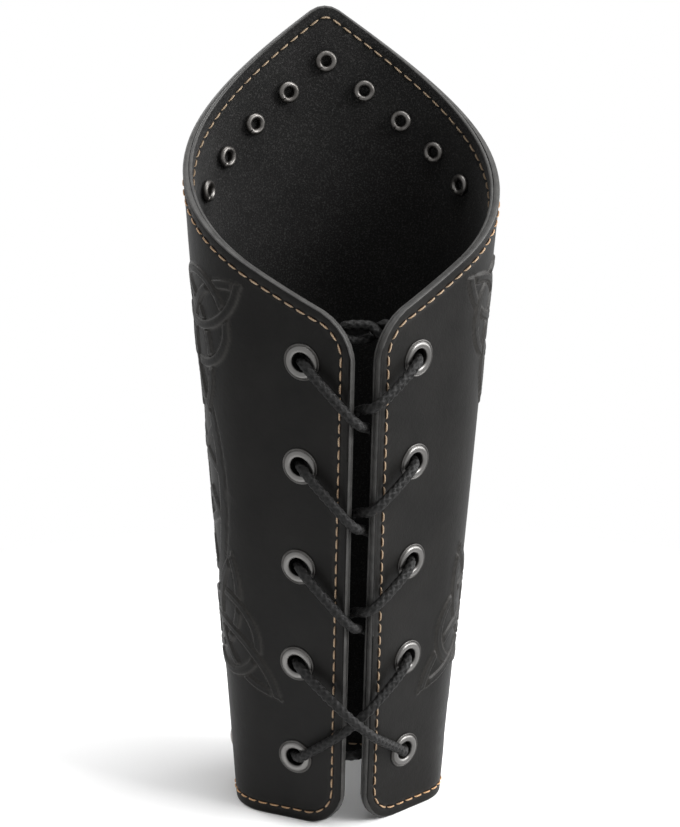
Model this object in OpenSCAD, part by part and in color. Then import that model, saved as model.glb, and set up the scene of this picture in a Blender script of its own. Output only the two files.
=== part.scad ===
// Laced leather bracer: a rolled and tapered leather wall with a lining, domed tubular rivets,
// clinched eyelets and one crossed lace that is knotted inside.
// The origin is the middle of the footprint on the ground. +Z is up and the decorated front faces -Y.
// A place on the wall is given by its share of the half girth, from 0 at the front line to 1 at a
// laced edge, by its height, and by its distance out from the leather's face.
// Left and right are those of someone who looks at the lacing.

/* [Wall section] */
// Half width of the wall at the base
base_side = 33.2; // [31:0.1:36]
// Depth of the base section in front of its widest line
base_front = 33.2; // [31:0.1:36]
// Depth of the base section from its widest line back to the ridge at the lacing
base_back = 31.6; // [29:0.1:34]
// Height at which the upper section is measured
section_h = 200; // [190:1:215]
// Half width of the wall at the upper section
upper_side = 47.6; // [44:0.1:51]
// Depth of the upper section in front of its widest line
upper_front = 38; // [35:0.1:42]
// Depth of the upper section from its widest line back to the ridge at the lacing
upper_back = 51.5; // [48:0.1:55]
// Slope of the two straight flaps, which would meet in that ridge
flap_slope = 35; // [33:0.5:37]
// How far the upper section sits behind the base section
lean = 8; // [0:0.5:12]
// Thickness of the outer leather
leather_t = 1.8; // [1.4:0.1:2.6]
// Thickness of the lining
lining_t = 1; // [0.6:0.1:1.4]

/* [Outline] */
// Height of the pointed front
peak_h = 250; // [240:1:262]
// Radius of the rounded point
tip_r = 8; // [5:0.5:14]
// Share of the half girth at which the straight edges of the point end
shoulder_share = 0.425; // [0.4:0.005:0.5]
// Height of the top edge at the shoulder
shoulder_h = 208.4; // [200:0.2:215]
// Height of the top edge at the lacing, before its corner is rounded
corner_h = 164.6; // [160:0.2:172]
// Radius of the upper corners at the lacing
top_corner_r = 11; // [6:0.5:14]
// Radius of the lower corners at the lacing
low_corner_r = 12; // [6:0.5:14]
// Width of the gap between the laced edges at the base
base_gap = 7.8; // [7.4:0.1:9]
// Width of the gap at the upper section
upper_gap = 8.3; // [7.8:0.1:10]

/* [Rivets] */
// Rivets beside the middle one in the top row, on each side
top_rivets = 4; // [1:1:4]
// Distance between neighbouring top rivets, measured round the girth
top_rivet_step = 12.5; // [11.5:0.1:13.5]
// Height of the point's straight edge above the top rivets
top_rivet_drop = 18.6; // [16:0.1:24]
// Rivets beside the middle one in the low row, on each side
low_rivets = 2; // [1:1:2]
// Distance between neighbouring low rivets, measured round the girth
low_rivet_step = 19; // [14:0.5:21]
// Height of the low row
low_rivet_h = 16; // [12:0.5:24]
// Radius of a domed cap
cap_r = 5; // [4.4:0.1:5.6]
// Height of a cap at its middle
cap_h = 2.6; // [2.4:0.1:3.4]
// Height of a cap's upright edge
cap_edge = 0.7; // [0.6:0.05:0.9]
// Thickness of the cap's sheet
cap_t = 0.35; // [0.3:0.05:0.45]
// Inner radius of the tubular shank
shank_r = 1.5; // [1.2:0.05:1.7]
// Thickness of the shank's sheet
shank_t = 0.35; // [0.3:0.05:0.45]
// Radius of the flange that the cap is crimped round
flange_r = 3.9; // [3.4:0.1:4.1]
// Radius of the rolled end's curl
curl_r = 0.95; // [0.8:0.05:1.1]

/* [Eyelets] */
// Height of the upper pair of eyelets
eyelet_top_h = 153; // [150:0.2:154]
// Distance from one pair to the next
eyelet_step = 32.6; // [30:0.2:33]
// Distance from the middle plane to an eyelet
eyelet_off = 17.2; // [16.6:0.1:18]
// Radius of the clear hole
eyelet_hole_r = 2.9; // [2.6:0.05:3.1]
// Outer radius of the eyelet's crown and of its washer
eyelet_r = 5.7; // [5.5:0.1:6.2]
// Height of the crown
crown_h = 0.9; // [0.7:0.05:1.1]
// Thickness of the eyelet's barrel
barrel_t = 0.4; // [0.3:0.05:0.5]
// Thickness of the washer
washer_t = 0.4; // [0.3:0.05:0.6]
// Radius of the clinched end's curl
clinch_r = 0.45; // [0.35:0.05:0.5]

/* [Lace and thread] */
// Diameter of the lace
lace_d = 3.2; // [2.8:0.1:3.4]
// Height of the knot above the upper eyelets
knot_rise = 7.5; // [7:0.5:9]
// Length of the lace's ends below the knot
tail_len = 30; // [24:1:34]
// Length of a tip on a lace end
tip_len = 17; // [12:1:20]
// Thickness of a tip's sleeve
tip_t = 0.3; // [0.2:0.05:0.4]
// Distance from the leather's edge to the seam
seam_in = 3.5; // [3:0.1:4.5]
// Length of one stitch
stitch_len = 3; // [2.4:0.1:3.3]
// Distance from one stitch to the next
stitch_step = 4.1; // [3.8:0.1:6]
// Thickness of the thread
thread_d = 0.6; // [0.4:0.1:0.8]

/* [Clearances] */
// Room round a shank or barrel in its punched hole
punch_gap = 0.1; // [0.05:0.05:0.2]
// Room between two seated metal parts
seat_gap = 0.05; // [0.02:0.01:0.1]
// Room for the wall's curve under a flat part inside it
curve_gap = 0.3; // [0.25:0.05:0.4]
// Room between the lace and what it lies on
lace_gap = 0.15; // [0.1:0.05:0.3]

/* [Hidden] */
wall_t = leather_t + lining_t;
lace_r = lace_d / 2;
// The section's widest line at the base, placed so that the footprint's middle is the origin
axis_y = -8.5;
// Steps in which a section's length is measured
arc_steps = 72;
// Columns of the wall over the tip, the flank and a corner, and rows from base to top edge
tip_cols = 3;
flank_cols = 22;
corner_cols = 5;
wall_rows = 7;

// Sizes of the section at a height: they change evenly from the base to the upper section
function grow(low, high, z) = low + (high - low) * z / section_h;
function side_at(z) = grow(base_side, upper_side, z);
function front_at(z) = grow(base_front, upper_front, z);
function back_at(z) = grow(base_back, upper_back, z);
// Half of the gap, measured along the sloped flap
function half_gap(z) = grow(base_gap, upper_gap, z) / 2 / cos(flap_slope);
function middle_y(z) = axis_y + grow(0, lean, z);

// A section is half an ellipse in front of the widest line. Behind it, it bends round an arc that ends
// at the flap's slope, and goes on straight to the ridge.
function bend_r(z) =
    (back_at(z) - side_at(z) * tan(flap_slope)) * cos(flap_slope) / (1 - sin(flap_slope));
function bend_turn(t) = min(t - 90, 90 - flap_slope);
function section(z, t) =
    t < 90
        ? [side_at(z) * sin(t), -front_at(z) * cos(t)]
        : let (r = bend_r(z), turn = bend_turn(t), past = (t - 90 - turn) / flap_slope)
            (1 - past) * [side_at(z) - r * (1 - cos(turn)), r * sin(turn)] + past * [0, back_at(z)];
function section_out(z, t) =
    let (n = t < 90 ? [front_at(z) * sin(t), -side_at(z) * cos(t)] : [cos(bend_turn(t)), sin(bend_turn(t))])
    n / norm(n);

// Pairs of length from the front line and angle, along one half of a section
function arc_table(z) =
    let (step = 180 / arc_steps)
    [
        for (i = 0, len = 0; i <= arc_steps;
            len = len + norm(section(z, (i + 1) * step) - section(z, i * step)), i = i + 1)
            [len, i * step]
    ];
function arc_whole(z) = arc_table(z)[arc_steps][0];
function edge_arc(z) = arc_whole(z) - half_gap(z);

// The point at an arc from the front line, on the side of the sign given, at a distance out
function wall_at(arc, hand, z, out) =
    let (t = lookup(arc, arc_table(z)), p = section(z, t) + out * section_out(z, t))
    [hand * p[0], p[1] + middle_y(z), z];
function hand_of(share) = share < 0 ? -1 : 1;
function on_share(share, z, out = 0) = wall_at(abs(share) * edge_arc(z), hand_of(share), z, out);
// A point at a distance from the middle plane, on a line that lies a distance out from the flap there
function on_back(across, z, out) =
    [across, middle_y(z) + back_at(z) - abs(across) * tan(flap_slope) + out / cos(flap_slope), z];

// Outward direction of the wall, with its taper
function wall_out(share, z) =
    let (
        along = on_share(share + 0.004, z) - on_share(share - 0.004, z),
        up = on_share(share, z + 0.5) - on_share(share, z - 0.5),
        n = cross(along, up)
    )
    n / norm(n);

// Straight edge of the point: a tangent from the shoulder to the rounded tip
peak_arc = edge_arc(peak_h);
shoulder_w = shoulder_share * peak_arc;
tip_mid = peak_h - tip_r;
flank_angle = atan2(tip_mid - shoulder_h, shoulder_w)
    + asin(tip_r / norm([shoulder_w, tip_mid - shoulder_h]));
flank_fall = tan(flank_angle) * peak_arc;
// Behind the shoulder the edge is a parabola that leaves the flank evenly and ends at the lacing
back_share = 1 - shoulder_share;
back_bend = (corner_h - shoulder_h + flank_fall * back_share) / pow(back_share, 2);

function edge_fall(share) =
    share < shoulder_share ? flank_fall : flank_fall - 2 * back_bend * (share - shoulder_share);
function edge_line(share) =
    let (past = share - shoulder_share)
    shoulder_h - flank_fall * past + (past > 0 ? back_bend * pow(past, 2) : 0);
// Height of the top edge, or of a line that runs at a distance inside it
function top_line(share, inset = 0) =
    let (w = share * peak_arc, r = tip_r - inset)
    w < r * sin(flank_angle)
        ? tip_mid + sqrt(pow(r, 2) - pow(w, 2))
        : edge_line(share) - inset / cos(atan(edge_fall(share) / peak_arc));

// How much a rounded corner takes away at a distance from the laced edge
function corner_cut(from_edge, r) =
    from_edge < r ? r - sqrt(max(0, pow(r, 2) - pow(r - from_edge, 2))) : 0;
low_edge_arc = edge_arc(0);
top_edge_arc = edge_arc(corner_h);
function wall_top(share) =
    top_line(abs(share)) - corner_cut((1 - abs(share)) * top_edge_arc, top_corner_r);
function wall_foot(share) = corner_cut((1 - abs(share)) * low_edge_arc, low_corner_r);

// Shares of the half girth at which the wall has its columns
tip_share = tip_r * sin(flank_angle) / peak_arc;
corner_share = low_corner_r / low_edge_arc;
half_cols = concat(
    [for (i = [1 : tip_cols]) tip_share * i / tip_cols],
    [for (i = [1 : flank_cols]) tip_share + (1 - corner_share - tip_share) * i / flank_cols],
    [for (i = [1 : corner_cols]) 1 - corner_share * (1 - sin(90 * i / corner_cols))]
);
half_count = len(half_cols);
cols = concat([for (i = [half_count - 1 : -1 : 0]) -half_cols[i]], [0], half_cols);
col_count = len(cols);
row_count = wall_rows + 1;

// One layer of the wall, between two depths below the leather's face
module wall_layer(outer_in, inner_in) {
    function level(share, j) =
        wall_foot(share) + (wall_top(share) - wall_foot(share)) * j / wall_rows;
    function face(depth) = [
        for (share = cols) for (j = [0 : wall_rows]) on_share(share, level(share, j), -depth)
    ];
    points = concat(face(outer_in), face(inner_in));
    half = col_count * row_count;
    function outer(i, j) = i * row_count + j;
    function inner(i, j) = half + outer(i, j);
    function quad(a, b, c, d) = [[a, b, c], [a, c, d]];
    strips = [
        for (i = [0 : col_count - 2]) for (j = [0 : wall_rows - 1]) each concat(
            quad(outer(i, j), outer(i, j + 1), outer(i + 1, j + 1), outer(i + 1, j)),
            quad(inner(i, j), inner(i + 1, j), inner(i + 1, j + 1), inner(i, j + 1))
        )
    ];
    rims = [
        for (i = [0 : col_count - 2]) each concat(
            quad(outer(i, 0), outer(i + 1, 0), inner(i + 1, 0), inner(i, 0)),
            quad(outer(i, wall_rows), inner(i, wall_rows), inner(i + 1, wall_rows), outer(i + 1, wall_rows))
        )
    ];
    last = col_count - 1;
    ends = [
        for (j = [0 : wall_rows - 1]) each concat(
            quad(outer(0, j), inner(0, j), inner(0, j + 1), outer(0, j + 1)),
            quad(outer(last, j), outer(last, j + 1), inner(last, j + 1), inner(last, j))
        )
    ];
    polyhedron(points = points, faces = concat(strips, rims, ends), convexity = 8);
}

// Places a child on the wall: its Z points out, its X down and its Y round the girth
module on_wall(share, z) {
    n = wall_out(share, z);
    translate(on_share(share, z)) rotate([0, acos(n[2]), atan2(n[1], n[0])]) children();
}

// Places of the rivets and eyelets as share and height
function top_rivet(i) =
    let (k = i - top_rivets - 1, share = k * top_rivet_step / edge_arc(shoulder_h))
    [share, edge_line(abs(share)) - top_rivet_drop];
function low_rivet(i) = [(i - low_rivets - 1) * low_rivet_step / edge_arc(low_rivet_h), low_rivet_h];
function eyelet_level(row) = eyelet_top_h - (row - 1) * eyelet_step;
function eyelet_share(row) =
    let (z = eyelet_level(row))
    (arc_whole(z) - eyelet_off / cos(flap_slope)) / edge_arc(z);

module at_top_rivet(i) {
    on_wall(top_rivet(i)[0], top_rivet(i)[1]) children();
}
module at_low_rivet(i) {
    on_wall(low_rivet(i)[0], low_rivet(i)[1]) children();
}
module at_eyelet(hand, row) {
    on_wall(hand * eyelet_share(row), eyelet_level(row)) children();
}

// Punched holes for every shank and barrel
module punch(r) {
    translate([0, 0, -3 * wall_t]) cylinder(r = r + punch_gap, h = 6 * wall_t, $fn = 48);
}
module holes() {
    for (i = [1 : 2 * top_rivets + 1]) at_top_rivet(i) punch(shank_r + shank_t);
    for (i = [1 : 2 * low_rivets + 1]) at_low_rivet(i) punch(shank_r + shank_t);
    for (hand = [-1, 1]) for (row = [1 : 5]) at_eyelet(hand, row) punch(eyelet_hole_r + barrel_t);
}

module outer_leather() {
    color([0.13, 0.12, 0.12]) difference() {
        wall_layer(0, leather_t);
        holes();
    }
}

module lining() {
    color([0.08, 0.08, 0.08]) difference() {
        wall_layer(leather_t, wall_t);
        holes();
    }
}

// Domed cap: a thin dome with an upright edge, crimped under the flange of its tube
dome_rise = cap_h - cap_edge;
dome_r = (pow(cap_r, 2) + pow(dome_rise, 2)) / (2 * dome_rise);
module dome(shrink) {
    intersection() {
        translate([0, 0, cap_h - dome_r]) sphere(r = dome_r - shrink, $fn = 64);
        translate([0, 0, shrink]) cylinder(r = cap_r - shrink, h = cap_h, $fn = 64);
    }
}
module rivet_cap() {
    color([0.55, 0.54, 0.52]) difference() {
        dome(0);
        dome(cap_t);
        translate([0, 0, -cap_t]) cylinder(r = shank_r + shank_t + punch_gap, h = 3 * cap_t, $fn = 48);
    }
}

// Hollow shank with its flange inside the cap and its end rolled outwards on the lining
flange_z = cap_t + seat_gap;
roll_z = -(wall_t + curve_gap + curl_r);
module rivet_tube() {
    shank_out = shank_r + shank_t;
    color([0.5, 0.49, 0.47]) rotate_extrude($fn = 64) {
        translate([shank_r, flange_z]) square([flange_r - shank_r, shank_t]);
        translate([shank_r, roll_z]) square([shank_t, flange_z + shank_t - roll_z]);
        difference() {
            translate([shank_r + curl_r, roll_z]) circle(r = curl_r, $fn = 48);
            translate([shank_r + curl_r, roll_z]) circle(r = curl_r - shank_t, $fn = 48);
            translate([shank_out, roll_z]) square([curl_r - shank_t, curl_r]);
        }
    }
}

// Eyelet: a rounded crown on the leather, a barrel, and a curl clinched over the washer
crown_w = eyelet_r - eyelet_hole_r;
crown_r = (pow(crown_w / 2, 2) + pow(crown_h, 2)) / (2 * crown_h);
washer_z = -(wall_t + curve_gap + washer_t);
clinch_z = washer_z - seat_gap - clinch_r;
module eyelet() {
    barrel_out = eyelet_hole_r + barrel_t;
    color([0.3, 0.29, 0.28]) rotate_extrude($fn = 72) {
        intersection() {
            translate([eyelet_hole_r + crown_w / 2, crown_h - crown_r]) circle(r = crown_r, $fn = 64);
            translate([eyelet_hole_r, 0]) square([crown_w, crown_h]);
        }
        translate([eyelet_hole_r, clinch_z]) square([barrel_t, -clinch_z + crown_h / 3]);
        translate([barrel_out, clinch_z]) circle(r = clinch_r, $fn = 32);
    }
}
module eyelet_washer() {
    washer_hole_r = eyelet_hole_r + barrel_t + seat_gap;
    color([0.3, 0.29, 0.28]) translate([0, 0, washer_z]) difference() {
        cylinder(r = eyelet_r, h = washer_t, $fn = 72);
        translate([0, 0, -washer_t]) cylinder(r = washer_hole_r, h = 3 * washer_t, $fn = 72);
    }
}

// Seam line all round the leather as pairs of share and height, one turn from the front of the base
seam_low_r = low_corner_r - seam_in;
seam_top_r = top_corner_r - seam_in;
function low_share(from_edge) = 1 - from_edge / low_edge_arc;
function top_share(from_edge) = 1 - from_edge / top_edge_arc;
function side_share(from_edge, z) = 1 - from_edge / edge_arc(z);
seam_half = concat(
    [for (i = [0 : 30]) [low_share(low_corner_r) * i / 30, seam_in]],
    [
        for (a = [10 : 10 : 80])
            [low_share(low_corner_r - seam_low_r * sin(a)), low_corner_r - seam_low_r * cos(a)]
    ],
    [
        for (i = [0 : 20])
            let (z = low_corner_r + (corner_h - top_corner_r - low_corner_r) * i / 20)
            [side_share(seam_in, z), z]
    ],
    [
        for (a = [10 : 10 : 90])
            let (share = top_share(top_corner_r - seam_top_r * cos(a)))
            [share, top_line(share) - top_corner_r + seam_top_r * sin(a)]
    ],
    [
        for (i = [1 : 60])
            let (share = top_share(top_corner_r) * (1 - i / 60))
            [share, top_line(share, seam_in)]
    ]
);
seam = concat(seam_half, [for (i = [len(seam_half) - 2 : -1 : 0]) [-seam_half[i][0], seam_half[i][1]]]);
seam_last = len(seam) - 1;
seam_points = [for (p = seam) on_share(p[0], p[1])];
seam_lengths = [
    for (i = 0, run = 0; i <= seam_last;
        run = run + (i < seam_last ? norm(seam_points[i + 1] - seam_points[i]) : 0), i = i + 1)
        run
];
seam_shares = [for (i = [0 : seam_last]) [seam_lengths[i], seam[i][0]]];
seam_levels = [for (i = [0 : seam_last]) [seam_lengths[i], seam[i][1]]];
stitches = floor(seam_lengths[seam_last] / stitch_step);
stitch_pitch = seam_lengths[seam_last] / stitches;

module edge_stitching() {
    color([0.78, 0.47, 0.16]) for (i = [0 : stitches - 1]) {
        run = (i + 0.5) * stitch_pitch;
        share = lookup(run, seam_shares);
        z = lookup(run, seam_levels);
        ahead = stitch_len / 2;
        round_step = (lookup(run + ahead, seam_shares) - lookup(run - ahead, seam_shares)) * edge_arc(z);
        up_step = lookup(run + ahead, seam_levels) - lookup(run - ahead, seam_levels);
        on_wall(share, z)
            rotate([0, 0, atan2(round_step, -up_step)])
                translate([0, 0, seat_gap + thread_d / 4])
                    cube([stitch_len, thread_d, thread_d / 2], center = true);
    }
}

// Lace. Its levels, counted out from the leather's face, are what it lies on.
over_leather = lace_r + lace_gap;
over_crown = crown_h + lace_r + lace_gap;
under_lining = -(wall_t + lace_r + lace_gap);
under_clinch = clinch_z - clinch_r - lace_r - lace_gap;
// One crossing from an eyelet to the one below it on the other side, chosen by hand: the distance
// from the middle plane as a share of the eyelet's, the share of the way down, and the level.
// It runs over its own flap, dives through the gap and goes on under the other flap.
crossing = [
    [0.96, 0.02, over_crown * 0.7],
    [0.82, 0.1, over_crown + 0.2],
    [0.24, 0.4, over_leather + 0.2],
    [0.11, 0.455, 0.1],
    [0.02, 0.49, -3],
    [-0.06, 0.52, -4.9],
    [-0.2, 0.58, under_lining - 0.5],
    [-0.82, 0.9, under_clinch - 0.2],
    [-0.97, 0.98, under_clinch * 0.8]
];
// The lowest crossing stays outside and goes into its eyelet from there
last_crossing = [
    [0.96, 0.02, over_crown * 0.7],
    [0.82, 0.1, over_crown + 0.2],
    [0.26, 0.37, over_leather + 0.3],
    [0.1, 0.45, 0.9],
    [-0.1, 0.55, 0.9],
    [-0.26, 0.63, over_leather + 0.3],
    [-0.82, 0.9, over_crown + 0.2],
    [-0.96, 0.98, over_crown * 0.7]
];
// Between the lowest eyelets it runs across inside: pairs of the distance's share and the level
cross_bar = [
    [0.95, under_clinch],
    [0.8, -6.7],
    [0.4, -6.7],
    [0, -8],
    [-0.4, -6.7],
    [-0.8, -6.7],
    [-0.95, under_clinch]
];
// Left crossings go through the gap this much lower than right ones
pass_apart = 5.6;
// In the lowest crossing the left strand lies on top of the right one
pass_over = lace_d + lace_gap;

function crossing_points(hand, row) = [
    for (p = crossing)
        let (bow = (1 - abs(p[0])) * (hand > 0 ? -pass_apart / 2 : pass_apart / 2))
        on_back(hand * p[0] * eyelet_off, eyelet_level(row) - p[1] * eyelet_step + bow, p[2])
];
function last_crossing_points(hand) = [
    for (p = last_crossing)
        let (rise = hand > 0 ? min(1, max(0, 1.3 - 1.6 * abs(p[0]))) * pass_over : 0)
        on_back(hand * p[0] * eyelet_off, eyelet_level(4) - p[1] * eyelet_step, p[2] + rise)
];

// Knot behind the top of the gap: both ends turn one and a half times round each other on their way
// to the other side, along a level line. Pairs of distance from the middle plane and turn, chosen by
// hand for one half.
knot_half = [[11, 270], [9.5, 221], [8, 172], [6.5, 123], [5, 74], [3.5, 25]];
knot_level = -6.8;
knot_turn_r = lace_r + 0.5;
knot_z = eyelet_top_h + knot_rise;
knot_line = on_back(knot_half[0][0], knot_z, knot_level);
knot = concat(knot_half, [for (i = [len(knot_half) - 1 : -1 : 0]) -knot_half[i]]);
function knot_points(hand) = [
    for (p = knot)
        let (angle = 90 * hand + hand * p[1])
        [hand * p[0], knot_line[1] + knot_turn_r * cos(angle), knot_z + knot_turn_r * sin(angle)]
];
// The way from an upper eyelet to the knot, and the end that hangs from the knot on the other side
function lead_points(hand) = [
    on_back(hand * 0.97 * eyelet_off, eyelet_top_h + 0.4, under_clinch * 0.9),
    on_back(hand * 0.77 * eyelet_off, eyelet_top_h + 0.5 * knot_rise, under_clinch + 0.6)
];
function tail_points(hand) = [
    on_back(-hand * 10.5, knot_z - 4, knot_level - 3.4),
    on_back(-hand * 11, knot_z - tail_len, knot_level - 4.6)
];
function backwards(list) = [for (i = [len(list) - 1 : -1 : 0]) list[i]];
function end_route(hand) = concat(lead_points(hand), knot_points(hand), tail_points(hand));
lace_route = concat(
    backwards(end_route(1)),
    crossing_points(1, 1),
    crossing_points(-1, 2),
    crossing_points(1, 3),
    last_crossing_points(-1),
    [for (p = cross_bar) on_back(p[0] * eyelet_off, eyelet_level(5), p[1])],
    backwards(last_crossing_points(1)),
    backwards(crossing_points(-1, 3)),
    backwards(crossing_points(1, 2)),
    backwards(crossing_points(-1, 1)),
    end_route(-1)
);
lace_sides = 8;

function unit(v) = v / norm(v);
function square_to(v, along) = unit(v - (v * along) * along);

// A round tube along a route: each ring is square to the route and turned as little as possible
module tube(route, r, sides) {
    last = len(route) - 1;
    along = [
        for (i = [0 : last])
            unit(unit(route[min(i + 1, last)] - route[max(min(i, last - 1), 0)])
                + unit(route[max(min(i, last), 1)] - route[max(i - 1, 0)]))
    ];
    across = [
        for (i = 0, v = square_to([0.3, 0.2, 1], along[0]); i <= last;
            v = i < last ? square_to(v, along[i + 1]) : v, i = i + 1)
            v
    ];
    points = [
        for (i = [0 : last])
            let (v = across[i], w = cross(along[i], v))
            for (k = [0 : sides - 1])
                route[i] + r * (v * cos(360 * k / sides) + w * sin(360 * k / sides))
    ];
    skin = [
        for (i = [0 : last - 1]) for (k = [0 : sides - 1])
            let (a = i * sides + k, b = i * sides + (k + 1) % sides)
            each [[a, a + sides, b + sides], [a, b + sides, b]]
    ];
    first_end = [[for (k = [0 : sides - 1]) k]];
    last_end = [[for (k = [sides - 1 : -1 : 0]) last * sides + k]];
    polyhedron(points = points, faces = concat(skin, first_end, last_end), convexity = 10);
}

module lace() {
    color([0.1, 0.1, 0.1]) tube(lace_route, lace_r, lace_sides);
}

// Sleeve crimped round a lace end, closed below the end
module lace_tip(hand) {
    top = tail_points(hand)[0];
    low = tail_points(hand)[1];
    along = low - top;
    sleeve_r = lace_r + seat_gap;
    closed_end = tip_t + seat_gap;
    color([0.25, 0.25, 0.25]) translate(low)
        rotate([0, acos(along[2] / norm(along)), atan2(along[1], along[0])]) difference() {
            translate([0, 0, closed_end - tip_len]) cylinder(r = sleeve_r + tip_t, h = tip_len, $fn = 32);
            translate([0, 0, -tip_len]) cylinder(r = sleeve_r, h = tip_len + seat_gap, $fn = 32);
        }
}

outer_leather();
lining();
edge_stitching();
lace();
lace_tip(1);  // lace_tip_left
lace_tip(-1);  // lace_tip_right
for (i = [1 : 2 * top_rivets + 1]) {
    at_top_rivet(i) rivet_cap();
    at_top_rivet(i) rivet_tube();
}
for (i = [1 : 2 * low_rivets + 1]) {
    at_low_rivet(i) rivet_cap();
    at_low_rivet(i) rivet_tube();
}
for (row = [1 : 5]) {
    at_eyelet(1, row) eyelet();
    at_eyelet(-1, row) eyelet();
    at_eyelet(1, row) eyelet_washer();
    at_eyelet(-1, row) eyelet_washer();
}
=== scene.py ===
"""Looks of the laced leather bracer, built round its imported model.

All sizes here are in millimetres, as in the part's source, and a mesh is scaled to metres when it is made.
A place on the wall is given by its distance from the front line round the girth, its height, and its
distance out from the leather's face.
"""

import math

import bpy
import numpy as np
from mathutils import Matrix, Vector


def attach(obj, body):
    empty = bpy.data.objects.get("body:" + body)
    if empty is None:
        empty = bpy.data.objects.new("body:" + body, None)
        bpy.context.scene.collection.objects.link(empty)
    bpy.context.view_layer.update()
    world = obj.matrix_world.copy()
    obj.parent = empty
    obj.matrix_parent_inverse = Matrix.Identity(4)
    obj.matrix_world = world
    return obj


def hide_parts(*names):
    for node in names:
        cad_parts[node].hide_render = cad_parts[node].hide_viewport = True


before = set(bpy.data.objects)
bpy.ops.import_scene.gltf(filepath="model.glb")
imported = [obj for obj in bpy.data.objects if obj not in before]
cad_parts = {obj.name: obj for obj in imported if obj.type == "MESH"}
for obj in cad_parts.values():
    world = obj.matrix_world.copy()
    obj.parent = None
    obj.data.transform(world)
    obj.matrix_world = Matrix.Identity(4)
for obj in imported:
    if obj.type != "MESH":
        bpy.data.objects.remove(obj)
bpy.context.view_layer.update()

MM = 0.001

# Camera: the photograph's view of the laced side, with the bracer in the middle
CAMERA_PLACE = (100.0, 637.0, 293.3)
CAMERA_AIM = (0.2, -4.7, 127.6)
CAMERA_LENS = 94.2


def add_object(name, data):
    """A new object in the scene."""
    made = bpy.data.objects.new(name, data)
    bpy.context.scene.collection.objects.link(made)
    return made


def facing(place, aim):
    """The turn of a camera or lamp at a place that looks at its aim."""
    return (Vector(aim) - Vector(place)).to_track_quat("-Z", "Y").to_euler()


def make_camera():
    """A camera at its place, turned towards its aim."""
    camera = add_object("camera", bpy.data.cameras.new("camera"))
    camera.data.lens = CAMERA_LENS
    camera.data.sensor_width = 36
    camera.data.clip_start = 0.01
    camera.data.clip_end = 30
    camera.location = Vector(CAMERA_PLACE) * MM
    camera.rotation_euler = facing(CAMERA_PLACE, CAMERA_AIM)
    bpy.context.scene.camera = camera


make_camera()

# Wall section and outline, the same sizes as in the part's source
BASE_SIDE, BASE_FRONT, BASE_BACK = 33.2, 33.2, 31.6
SECTION_H = 200
UPPER_SIDE, UPPER_FRONT, UPPER_BACK = 47.6, 38, 51.5
FLAP_SLOPE = math.radians(35)
LEAN = 8
LEATHER_T = 1.8
LINING_T = 1
WALL_T = LEATHER_T + LINING_T
AXIS_Y = -8.5
PEAK_H = 250
TIP_R = 8
SHOULDER_SHARE = 0.425
SHOULDER_H = 208.4
CORNER_H = 164.6
TOP_CORNER_R = 11
LOW_CORNER_R = 12
BASE_GAP = 7.8
UPPER_GAP = 8.3


def grow(low, high, z):
    """A size that changes evenly from the base to the upper section."""
    return low + (high - low) * z / SECTION_H


def section(z, turn):
    """Point and outward direction of the section at a height. In front of the widest line it is half an
    ellipse, (side sin t, -front cos t). Behind it, it bends round an arc of radius r, (side - r + r cos b,
    r sin b), which ends at the flap's slope, and goes on straight to the ridge at (0, back)."""
    side = grow(BASE_SIDE, UPPER_SIDE, z)
    front = grow(BASE_FRONT, UPPER_FRONT, z)
    back = grow(BASE_BACK, UPPER_BACK, z)
    r = (back - side * math.tan(FLAP_SLOPE)) * math.cos(FLAP_SLOPE) / (1 - math.sin(FLAP_SLOPE))
    bent = np.clip(turn - math.pi / 2, 0, math.pi / 2 - FLAP_SLOPE)
    past = np.clip((turn - math.pi / 2 - bent) / FLAP_SLOPE, 0, 1)
    ahead = turn < math.pi / 2
    x = np.where(ahead, side * np.sin(turn), (1 - past) * (side - r + r * np.cos(bent)))
    y = np.where(ahead, -front * np.cos(turn), (1 - past) * r * np.sin(bent) + past * back)
    out_x = np.where(ahead, front * np.sin(turn), np.cos(bent))
    out_y = np.where(ahead, -side * np.cos(turn), np.sin(bent))
    length = np.hypot(out_x, out_y)
    return x, y, out_x / length, out_y / length


# Table of arc lengths at whole heights, and its inverse: the turn at shares of the whole half girth
TABLE_H = np.arange(0, PEAK_H + 3.0)
TABLE_TURNS = np.linspace(0, math.pi, 361)
ARC_SHARES = np.linspace(0, 1, 601)


def arc_tables():
    """Half girth at each height, and the turn at each share of it, from the summed chords of a section."""
    x, y, _, _ = section(TABLE_H[:, None], TABLE_TURNS[None, :])
    chords = np.hypot(np.diff(x, axis=1), np.diff(y, axis=1))
    arcs = np.concatenate([np.zeros((len(TABLE_H), 1)), np.cumsum(chords, axis=1)], axis=1)
    whole = arcs[:, -1]
    turns = np.array([np.interp(ARC_SHARES * w, a, TABLE_TURNS) for a, w in zip(arcs, whole)])
    return whole, turns


HALF_GIRTHS, TURN_TABLE = arc_tables()


def half_girth(z):
    """Length from the front line to the back line at a height."""
    return np.interp(z, TABLE_H, HALF_GIRTHS)


def edge_arc(z):
    """Length from the front line to the laced edge: half the girth less half the gap along the flap."""
    return half_girth(z) - grow(BASE_GAP, UPPER_GAP, z) / 2 / math.cos(FLAP_SLOPE)


def sampled(grid, row, column):
    """Values of a grid between its points, by linear steps both ways."""
    row = np.clip(row, 0, grid.shape[0] - 1.001)
    column = np.clip(column, 0, grid.shape[1] - 1.001)
    i, j = row.astype(int), column.astype(int)
    down, over = row - i, column - j
    first = grid[i, j] * (1 - over) + grid[i, j + 1] * over
    second = grid[i + 1, j] * (1 - over) + grid[i + 1, j + 1] * over
    return first * (1 - down) + second * down


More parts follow.
